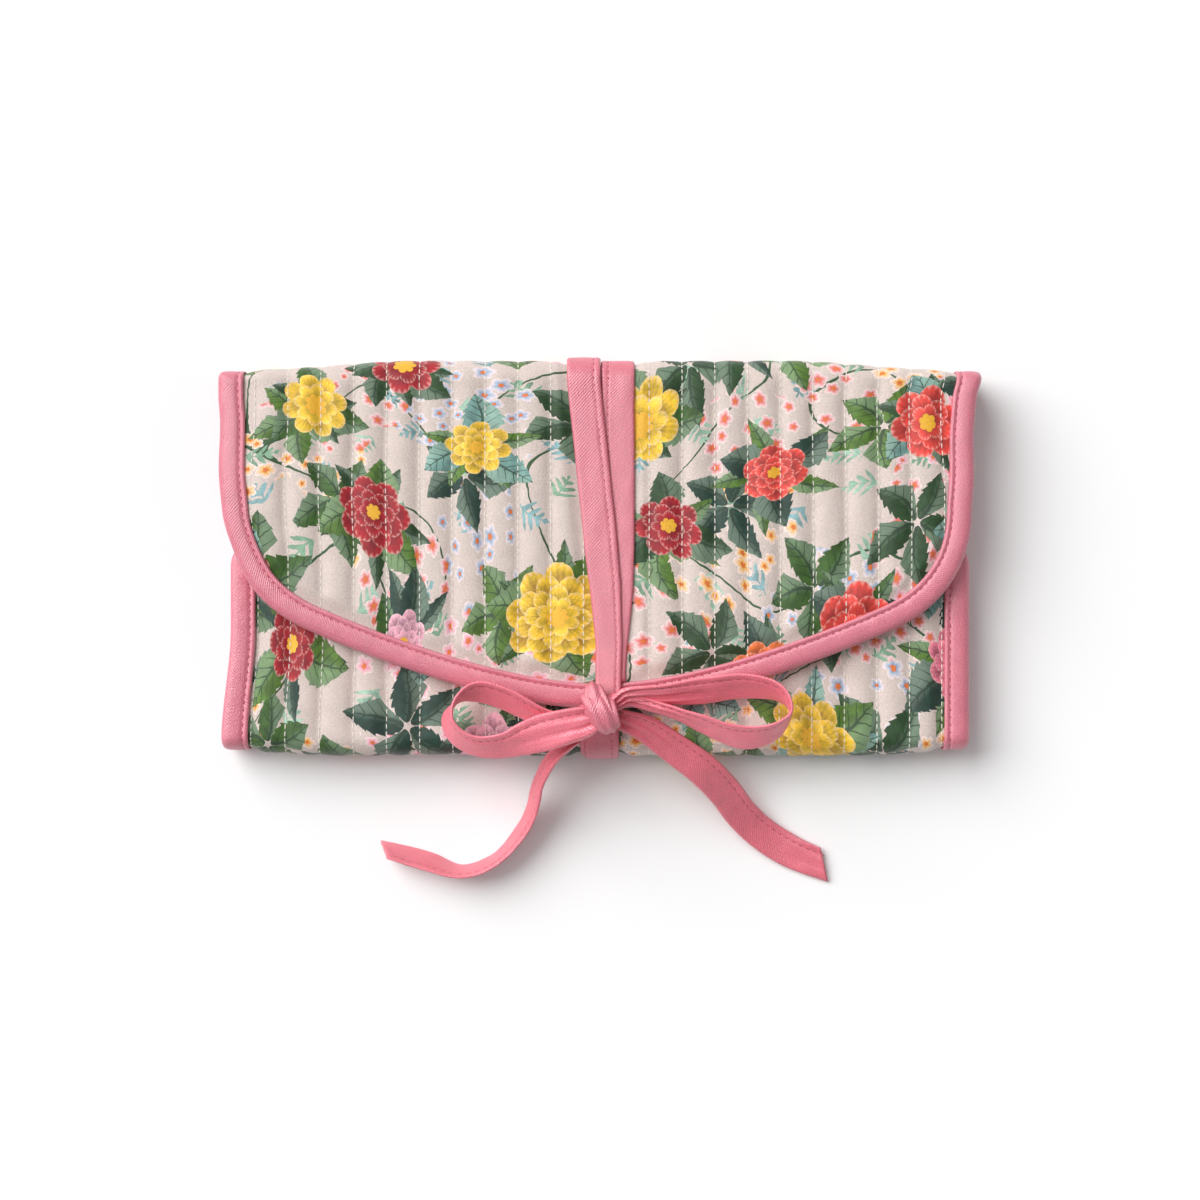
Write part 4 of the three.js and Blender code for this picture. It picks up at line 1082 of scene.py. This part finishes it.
def tie_run(name, part, places, layer, sewn_side):
    """One tie over one part of the cloth, with its seam."""
    start, stop = tie_ends(part, layer)

    def line(s):
        return tie_middle(s, places) + 0.25 * grain(s / 16, layer * 5.0, 2.0)

    def place(u, v):
        across, face = round_band(u, TIE_COLUMNS)
        s = start + (stop - start) * v
        level = tie_level(s, layer) + 0.5
        if layer == 0:
            level -= 1.5 * math.exp(-((s - KNOT_TOP + 5.5) / 2.4) ** 2) * (0.7 - 0.5 * across)
        if face > 0:
            sag = 0.22 * grain(s / 9, across * 1.2, layer + 3.0)
            level -= tie_section(across, sewn_side) + sag * (1 - across ** 4)
        else:
            level += 0.45 * (1 - across ** 6) ** 0.5
        return on_cloth(line(s) + across * tie_half(s), s, level)

    def measure(u, v):
        return (start + (stop - start) * v) * MM, u * 2 * TIE_WIDTH * MM

    rows = max(4, round((stop - start) / TIE_ROW))
    band = cloth_piece(part + "_" + name, 2 * TIE_COLUMNS, rows, place, measure, tie_look)
    bend_with(band, part)
    short = "tie_outer_" if layer == 0 else "tie_inner_"
    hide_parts(*[short + body for body in STANDS_FOR[part]])
    (stop - start) * MM
    part + "_quilted_panel"

    def seam_point(s):
        return on_cloth(line(s) + sewn_side * SEAM_AT * tie_half(s), s, tie_level(s, layer) + 0.1)

    s, dashes = start + 1, []
    while s + TIE_DASH < stop:
        dashes.append((seam_point(s), seam_point(s + TIE_DASH)))
        s += TIE_STITCH
    bend_with(sewn(part + "_" + name + "_stitches", dashes, painted_shade_thread, thick=0.38), part)


for name, (places, layer, sewn_side) in TIES.items():
    for part in PARTS:
        tie_run(name, part, places, layer, sewn_side)
print("ties laid in", len(TIES) * len(PARTS), "runs")

# %% [markdown]
# ## Loops and tails of the bow
# A bow is four lengths of the same tie. Each one is a flat band on a smooth route through a few stops. A stop
# gives the middle of the band, its lean (0 lies flat, a quarter turn stands on edge) and the share of its width
# that the knot leaves it. Where the share is small the cloth is gathered and takes on pleats, and creases fan out
# from the knot along every band.

# %% Bands on a smooth route
KNOT_X, KNOT_Y, KNOT_Z, KNOT_TURN = 0.8, -47.0, 30.7, 0.4
KNOT_LENGTH, KNOT_RADIUS, KNOT_HEIGHT = 10.8, 7.2, 10.4
FLAP_FACE_Z, FOLD_FACE_Y = 24.2, -62.5
STEPS_PER_STOP, BOW_ROW, TRIM_FROM, PLEATS = 24, 0.9, 0.82, 2.6


def at_knot(side, out, across, up, lean, share):
    """A stop at one end of the knot, out from it, with its offsets across and up from the knot's middle."""
    end = Vector((side * (KNOT_LENGTH / 2 + out), across, 0))
    end.rotate(Matrix.Rotation(KNOT_TURN, 3, "Z"))
    return KNOT_X + end.x, KNOT_Y + end.y, KNOT_Z + up, lean, share


def by_knot(x, y, rise, lean, share):
    """A stop on the flap, with y from the knot and its rise over the flap's face."""
    return x, KNOT_Y + y, FLAP_FACE_Z + rise, lean, share


def past_fold(x, out, height, lean, share):
    """A stop off the roll, out from the bottom fold and at a height over the floor."""
    return x, FOLD_FACE_Y - out, height, lean, share


def smooth_route(stops):
    """Points on a centripetal Catmull-Rom curve through the stops, evenly spaced."""
    rows = [list(stop) for stop in stops]
    rows = [[2 * a - b for a, b in zip(rows[0], rows[1])]] + rows + [[2 * a - b for a, b in zip(rows[-1], rows[-2])]]
    fine = []
    for p0, p1, p2, p3 in zip(rows, rows[1:], rows[2:], rows[3:]):
        d0, d1, d2 = (math.sqrt(max(1e-6, math.dist(a[:3], b[:3]))) for a, b in ((p0, p1), (p1, p2), (p2, p3)))
        for i in range(STEPS_PER_STOP):
            t, point = i / STEPS_PER_STOP, []
            for a, b, c, d in zip(p0, p1, p2, p3):
                m1 = ((b - a) / d0 - (c - a) / (d0 + d1) + (c - b) / d1) * d1
                m2 = ((c - b) / d1 - (d - b) / (d1 + d2) + (d - c) / d2) * d1
                point.append(b + m1 * t + (3 * (c - b) - 2 * m1 - m2) * t ** 2 + (2 * (b - c) + m1 + m2) * t ** 3)
            fine.append(point)
    fine.append(rows[-2])
    reach = running_length([point[:3] for point in fine])
    count = round(reach[-1] / BOW_ROW)
    even, j = [], 1
    for i in range(count + 1):
        want = reach[-1] * i / count
        while j < len(reach) - 1 and reach[j] < want:
            j += 1
        share = (want - reach[j - 1]) / max(1e-9, reach[j] - reach[j - 1])
        even.append([a + (b - a) * share for a, b in zip(fine[j - 1], fine[j])])
    return even, reach[-1]


def band_frames(even):
    """Middle, direction across, normal, direction along and share for each point of a route."""
    frames = []
    for i, point in enumerate(even):
        ahead, behind = even[min(i + 1, len(even) - 1)], even[max(i - 1, 0)]
        run = (Vector(ahead[:3]) - Vector(behind[:3])).normalized()
        level = Vector((-run.y, run.x, 0)).normalized()
        up = run.cross(level).normalized()
        across = level * math.cos(point[3]) + up * math.sin(point[3])
        frames.append((Vector(point[:3]), across, run.cross(across).normalized(), run, point[4]))
    return frames


def band_point(frame, share_across, face, key, reach):
    """A point on one face of the band: across from -1 to 1, face 1 or -1, in metres."""
    middle, across, normal, _, share = frame
    near = math.exp(-math.hypot(middle.x - KNOT_X, middle.y - KNOT_Y) / 9)
    phase = PLEATS * math.pi * share_across + key * 2.1 + reach * 0.05
    pleat = (1.2 * max(0.0, 1 - share) + 0.8 * near) * (math.sin(phase) + 0.35 * math.sin(2.2 * phase + 1.0))
    sag = 0.4 * grain(reach / 11, share_across * 0.9, key * 7.7) + 0.14 * grain(reach / 3.5, share_across * 2, key)
    lift = pleat + sag + face * tie_section(share_across, 1)
    return (middle + across * (share_across * TIE_HALF * share) + normal * lift) * MM


def bow_band(name, stops, key, body, node, trim=None):
    """One length of the bow, with its seam; trim cuts its end at a slant."""
    even, length = smooth_route(stops)
    frames = band_frames(even)
    rows = len(frames) - 1

    def place(u, v):
        j = round(v * rows)
        across, face = round_band(u, TIE_COLUMNS)
        point = band_point(frames[j], across, face, key, j * length / rows)
        if trim:
            point += frames[-1][3] * trim(across) * MM * ease(TRIM_FROM, 1.0, v)
        return point

    def measure(u, v):
        return v * length * MM, u * 2 * TIE_WIDTH * MM

    # the loops and the tails take the lighter pinks, which are painted light
    look = painted_light_loops if "loop" in name else painted_light_tails
    band = cloth_piece(name, 2 * TIE_COLUMNS, rows, place, measure, look)
    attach(band, body)
    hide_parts(node)
    length * MM
    pitch = max(1, round(TIE_STITCH / (length / rows)))
    dash = max(1, round(pitch * 0.5))
    dashes = [[band_point(frames[k], SEAM_AT, face, key, k * length / rows) for k in (j, j + dash)]
              for j in range(2, rows - pitch, pitch) for face in (1, -1)]
    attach(sewn(name + "_stitches", dashes, painted_shade_thread, thick=0.34), body)
    print(name, round(length), "mm of tie")


bow_band("bow_left_loop", [
    at_knot(-1, -2.5, 1.4, -2.2, 2.6, 0.5), at_knot(-1, 0.3, 1.2, -2.4, 2.6, 0.5), by_knot(-9, -3.6, 3.4, 2.6, 0.6),
    by_knot(-17, -3.0, 3.4, 2.45, 0.8), by_knot(-24.6, 0.5, 4.4, 2.28, 1), by_knot(-30.6, 3.5, 5, 2.3, 1),
    by_knot(-37.9, 5.4, 5, 2.26, 1), by_knot(-43.8, 3.4, 5, 1.8, 1), by_knot(-47.5, -2.6, 4.7, 1.2, 1),
    by_knot(-45, -8.2, 4.4, 1.0, 1), by_knot(-38.6, -11.6, 4.6, 0.88, 1), by_knot(-29.2, -11.2, 5.8, 0.66, 1),
    by_knot(-22.4, -8.8, 7.4, 0.3, 1.08), by_knot(-17.4, -7.2, 8.2, 0.15, 1.14), by_knot(-10.4, -5.3, 8.8, 0.1, 1.06),
    at_knot(-1, 0.6, -1.4, 2, 0.1, 0.94), at_knot(-1, -2.5, -0.9, 1.2, 0.1, 0.7)],
    1, "flap", "bow_loop_left")
bow_band("bow_right_loop", [
    at_knot(1, -2.5, -0.6, -1.2, 0.9, 0.5), at_knot(1, 0.3, -0.6, -1.4, 0.9, 0.5), at_knot(1, 3, -0.8, -1.4, 0.9, 0.55),
    by_knot(16.5, 0.8, 4.4, 1, 0.65), by_knot(24, -1.4, 4.3, 1.1, 0.8), by_knot(31.5, -4.5, 4.2, 1, 0.95),
    by_knot(39.5, -7.7, 4, 0.85, 1), by_knot(47, -8.9, 4, 0.75, 1), by_knot(55.2, -6.2, 4.4, 1.1, 1),
    by_knot(59.2, -0.6, 4.8, 1.55, 1), by_knot(55.4, 4.9, 5, 2.1, 1), by_knot(44.6, 7.2, 5.2, 2.45, 1),
    by_knot(33.8, 6.0, 5.6, 2.5, 1), by_knot(21, 4.8, 6.6, 2.45, 0.85),
    at_knot(1, 3, 1.7, 1.3, 2.4, 0.55), at_knot(1, 0.3, 1.3, 0.4, 2.4, 0.48), at_knot(1, -2.5, 0.9, -0.6, 2.4, 0.42)],
    2, "flap", "bow_loop_right")
bow_band("bow_left_tail", [
    by_knot(-7.4, -8.8, 3.2, 0.5, 0.5), by_knot(-10.4, -11.4, 2.0, 0.75, 0.55), by_knot(-13.4, -14.2, 0.2, 0.92, 0.62),
    past_fold(-16.2, 2.2, 21, 0.95, 0.7), past_fold(-18.7, 7.2, 16, 1.13, 0.8), past_fold(-20.4, 12.6, 11.6, 1.13, 0.9),
    past_fold(-22, 18, 8.2, 1.2, 1), past_fold(-24.8, 23.8, 6.4, 1.18, 1), past_fold(-33, 33.2, 5.6, 1.28, 1),
    past_fold(-44, 37.4, 5.2, 1.25, 1), past_fold(-56, 33.8, 4.8, 1.05, 1), past_fold(-68, 30.8, 4.4, 1.12, 0.9)],
    3, "tail_left", "bow_tail_left", trim=lambda across: 1.2 - 2.1 * across)
bow_band("bow_right_tail", [
    by_knot(5.8, -3.2, 2.5, -0.15, 0.6), by_knot(14.2, -6.4, 0, -0.15, 0.82), by_knot(22.3, -12, -3.4, -0.1, 0.92),
    past_fold(32.4, 4, 17, -0.1, 1), past_fold(39.6, 11.4, 12, -0.05, 1), past_fold(45.2, 18.8, 7, 0, 1),
    past_fold(51.6, 25, 3.4, 0, 1), past_fold(60.8, 31, 1.7, 0, 1), past_fold(73, 36, 1.7, 0.1, 0.9)],
    4, "tail_right", "bow_tail_right", trim=lambda across: -3.2 * across - 1.0)

# %% [markdown]
# ## The knot
# The knot is the same tie wrapped round the gathered loops. It is a closed ring with a crowned face: the section
# runs out along the ring's face and back along its inside. The ring leans over as it goes round, is wider at its
# upper end, and is squashed flat where it sits on the flap. A second turn of the tie shows as a rim at its left,
# and its end curls out at the top. Fine pleats run round both, as the pull of the tie leaves them.

# %% The knot
KNOT_COLUMNS, KNOT_ROWS = 24, 64
KNOT_AROUND = 2 * math.pi * KNOT_RADIUS * 0.86


def knot_ring(name, middle_share, swell, key, peek):
    """One turn of the knot, moved along it by middle_share; peek is how far its end curls out."""

    def place(u, v):
        across, face = round_band(u, KNOT_COLUMNS)
        angle = 2 * math.pi * round(v * KNOT_ROWS) / KNOT_ROWS
        along = middle_share + across
        pleat = 0.26 * math.sin(along * 8 + key + 0.8 * math.sin(angle))
        pleat += 0.4 * grain(along * 2, 1.4 * math.cos(angle), key)
        radius = KNOT_RADIUS * (0.95 - 0.2 * along * along) + swell + pleat
        radius += 0.35 * abs(across) ** 8 + face * tie_section(across, 1) - 0.5
        down = radius * math.cos(angle)
        curl = peek * max(0.0, math.cos(angle)) ** 2
        half = (4.5 + 0.17 * down) * (1 - 0.12 * curl)
        slant = 0.15 - 0.035 * down
        return Vector((KNOT_X + 0.3 + along * half * math.cos(slant) - down * math.sin(KNOT_TURN) - 0.2 * curl,
                       KNOT_Y - 1.0 + along * half * math.sin(slant) + down * math.cos(KNOT_TURN) + curl,
                       KNOT_Z + radius * math.sin(angle) * KNOT_HEIGHT / (2 * KNOT_RADIUS))) * MM

    def measure(u, v):
        return v * KNOT_AROUND * MM, u * 2 * TIE_WIDTH * MM

    ring = cloth_piece(name, 2 * KNOT_COLUMNS, KNOT_ROWS, place, measure, tie_look)
    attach(ring, "flap")
    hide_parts("bow_knot")


knot_ring("bow_knot_wrap", 0.0, 0.0, 0.0, 0.0)
knot_ring("bow_knot_under_wrap", -0.3, -0.5, 2.0, 3.6)
print("knot wrapped")

# %% [markdown]
# ## Lining
# Plain cotton covers the inside of every panel. It is one sheet in life, cut here in the same four parts as the
# quilt, and it lies a little uneven because the quilting pulls on it.

# %% Lining
LINING_HALF, LINING_COLUMNS, LINING_ROW = 114.0, (48, 48), 2.6


def lining_depth(x, s, upper):
    """The face that shows is the under one, 0.7 mm below the other."""
    return 4.42 if upper else 5.1 + 0.16 * grain(x / 12, s / 14, 5.0) * pressed_by_edge(x, s)


for part, (start, stop, *_) in PARTS.items():
    rows = max(12, round((stop - start) / LINING_ROW))
    sheet = pad(part + "_lining_cloth", part, LINING_HALF, LINING_COLUMNS, rows, lining_depth, lining_look)
    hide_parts(*[body + "_lining" for body in STANDS_FOR[part]])
    length = (stop - start) * MM
    part + "_quilted_panel"
    0.228 * length * (0.86 if part == "flap" else 1.0)
print("lining cut")

# %% [markdown]
# ## Pockets inside
# The back panel carries a zip pocket, and the front panel and the flap a slip pocket each. Each pocket is a flat
# patch of cotton: a grid, with the zip's mouth deleted from it, given its thickness by solidify. Seams are rows
# of stitches along its sewn edges.

# %% Patches and seams
SEAM_STITCH, SEAM_IN, HEM_IN = 2.6, 1.3, 2.6
POCKET_SIDE, MOUTH_SIDE, TAPE_SIDE = 104, 90, 94.5


def grid_lines(stops, *sizes):
    """Lines from stop to stop, with steps of about one size in each span."""
    lines = [stops[0]]
    for low, high, size in zip(stops, stops[1:], sizes):
        count = max(1, round((high - low) / size))
        lines += [low + (high - low) * i / count for i in range(1, count + 1)]
    return lines


def flat_patch(name, xs, ys, low, high, look, body, node, hole=None, bulge=0.0):
    """A patch of cloth on the lines xs and ys, in mm, from height low to high; hole is a box left out of it."""

    def spot(u, v):
        return xs[round(u * (len(xs) - 1))], ys[round(v * (len(ys) - 1))]

    def place(u, v):
        x, y = spot(u, v)
        edge = min(x - xs[0], xs[-1] - x, y - ys[0], ys[-1] - y)
        soft = bulge * ease(0, 12, edge) * (0.5 + 0.5 * grain(x / 17, y / 13, low))
        return Vector((x, y, high + soft)) * MM

    def measure(u, v):
        x, y = spot(u, v)
        return x * MM, y * MM

    bm = cloth_grid(len(xs) - 1, len(ys) - 1, place, measure)
    for face in bm.faces:
        if face.normal.z < 0:
            face.normal_flip()
    if hole:
        x0, y0, x1, y1 = (edge * MM for edge in hole)
        middles = [(face, face.calc_center_median()) for face in bm.faces]
        gone = [face for face, middle in middles if x0 < middle.x < x1 and y0 < middle.y < y1]
        bmesh.ops.delete(bm, geom=gone, context="FACES")
    bmesh.ops.solidify(bm, geom=bm.faces[:], thickness=(high - low) * MM)
    bmesh.ops.recalc_face_normals(bm, faces=bm.faces)
    patch = finish_piece(name, bm, look)
    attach(patch, body)
    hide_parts(node)
    return patch


def seam_rows(name, lines, height, body, thick=0.4):
    """Stitches along straight lines of (x, y, x, y) at one height."""
    dashes = []
    for x0, y0, x1, y1 in lines:
        count = round(math.dist((x0, y0), (x1, y1)) / SEAM_STITCH)
        a, b = Vector((x0, y0, height)) * MM, Vector((x1, y1, height)) * MM
        dashes += [(a.lerp(b, (i + 0.12) / count), a.lerp(b, (i + 0.88) / count)) for i in range(count)]
    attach(sewn(name, dashes, pink_thread, thick), body)


def box_lines(x0, y0, x1, y1, inset, sides="blrt"):
    """Lines in from the sides of a box, which are named by their first letters: bottom, left, right and top."""
    x0, y0, x1, y1 = x0 + inset, y0 + inset, x1 - inset, y1 - inset
    lines = {"b": (x0, y0, x1, y0), "t": (x0, y1, x1, y1), "l": (x0, y0, x0, y1), "r": (x1, y0, x1, y1)}
    return [lines[side] for side in sides]


pocket = flat_patch(
    "zip_pocket_patch", grid_lines((-POCKET_SIDE, -MOUTH_SIDE, MOUTH_SIDE, POCKET_SIDE), 3.5, 4, 3.5),
    grid_lines((-54, -17, -9, -1.5), 3, 4, 2.5), 5.5, 6.2, pocket_look, "back", "zip_pocket_cloth",
    hole=(-MOUTH_SIDE, -17, MOUTH_SIDE, -9), bulge=0.12)
seam_rows("zip_pocket_seam", box_lines(-POCKET_SIDE, -54, POCKET_SIDE, -1.5, SEAM_IN), 6.24, "back")

# each slip pocket: its body, its sides, its heights, the sides that are sewn, its hemmed mouth and its dividing seams
for name, body, y0, y1, low, high, thread_z, depth, sides, mouth, dividers in (
        ("front_slip_pocket", "front", -50, -14, 11.2, 11.9, 11.17, 0.036, "blr", "t", [(0, -49, 0, -15)]),
        ("flap_slip_pocket", "flap", 4, 50, 18.0, 18.7, 17.97, 0.046, "tlr", "b",
         [(-36, 6, -36, 49), (36, 6, 36, 49)])):
    patch = flat_patch(name + "_patch", grid_lines((-POCKET_SIDE, POCKET_SIDE), 4), grid_lines((y0, y1), 3), low, high,
                       pocket_look, body, name)
    box = -POCKET_SIDE, y0, POCKET_SIDE, y1
    lines = box_lines(*box, SEAM_IN, sides) + box_lines(*box, HEM_IN, mouth) + dividers
    seam_rows(name + "_seam", lines, thread_z, body)

for name, low, high, seam_y, node in (("zip_upper_tape", -9.5, -5.0, -6.05, "zip_tape_upper"),
                                      ("zip_lower_tape", -21.0, -16.5, -19.95, "zip_tape_lower")):
    tape = flat_patch(name, grid_lines((-TAPE_SIDE, TAPE_SIDE), 4), grid_lines((low, high), 1.2), 6.5, 7.0, tape_look,
                      "back", node)
    seam_rows(name + "_seam", [(-93, seam_y, 93, seam_y)], 7.03, "back", thick=0.34)
print("pockets sewn")

# %% [markdown]
# ## Ring bar
# Rings slide onto a soft padded bar that is sewn down at one end and snapped at the other. The bar is a stuffed
# tube with a seam along its under side: a grid wrapped round the bar's axis, drawn in towards both ends. The
# tabs are short folded straps with a box of stitches.

# %% Ring bar and tabs
BAR_START, BAR_STOP, BAR_Y, BAR_Z, BAR_RADIUS = -80, 70, 13, 10.3, 4.75
BAR_LENGTH, BAR_COLUMNS, BAR_ROWS = BAR_STOP - BAR_START, 28, 60


def bar_place(u, v):
    angle = 2 * math.pi * (round(u * BAR_COLUMNS) % BAR_COLUMNS) / BAR_COLUMNS
    end = min(v, 1 - v) * BAR_LENGTH
    r = BAR_RADIUS * (0.55 + 0.45 * math.sqrt(min(1.0, end / 5.0)))
    r += 0.14 * grain(v * 15, math.cos(angle) * 1.5, math.sin(angle) * 1.5) * ease(2, 10, end)
    r -= 0.35 * math.exp(-((angle - math.pi * 1.5) / 0.12) ** 2)
    return Vector((BAR_START + BAR_LENGTH * v, BAR_Y + r * math.cos(angle), BAR_Z + r * math.sin(angle))) * MM


def bar_measure(u, v):
    return v * BAR_LENGTH * MM, u * 2 * math.pi * BAR_RADIUS * MM


bar = cloth_piece("ring_bar_tube", BAR_COLUMNS, BAR_ROWS, bar_place, bar_measure, pocket_look)
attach(bar, "ring_bar")
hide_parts("ring_bar_pad")

STRAP_LOW, STRAP_HIGH = 6.5, 19.5
for name, x0, x1, low, high, node, body in (
        ("ring_bar_sewn_strap", -96.3, -80.3, 5.5, 6.9, "ring_bar_sewn_tab", "back"),
        ("ring_bar_snap_strap", 70.3, 92, 9.33, 10.73, "ring_bar_snap_tab", "ring_bar")):
    strap = flat_patch(name, grid_lines((x0, x1), 1.5), grid_lines((STRAP_LOW, STRAP_HIGH), 1.3), low, high, tape_look,
                       body, node)
    seam_rows(name + "_seam", box_lines(x0, STRAP_LOW, x1, STRAP_HIGH, 1.4), high + 0.04, body)
print("ring bar made")

# %% [markdown]
# ## Metal fittings
# The zip's teeth, stops, slider and pull and the press stud keep their CAD shape, which already has the sizes that
# make them work. They only get the brass.

# %% Metal fittings
for node in ("zip_teeth_upper", "zip_teeth_lower", "zip_stop_left", "zip_stop_right", "zip_slider", "zip_pull",
             "snap_stud", "snap_socket", "snap_cap"):
    fitting = frame["nodes"][node]
    fitting.data.materials.clear()
    fitting.data.materials.append(brass)
print("brass on", [o.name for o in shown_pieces() if "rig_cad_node" in o])
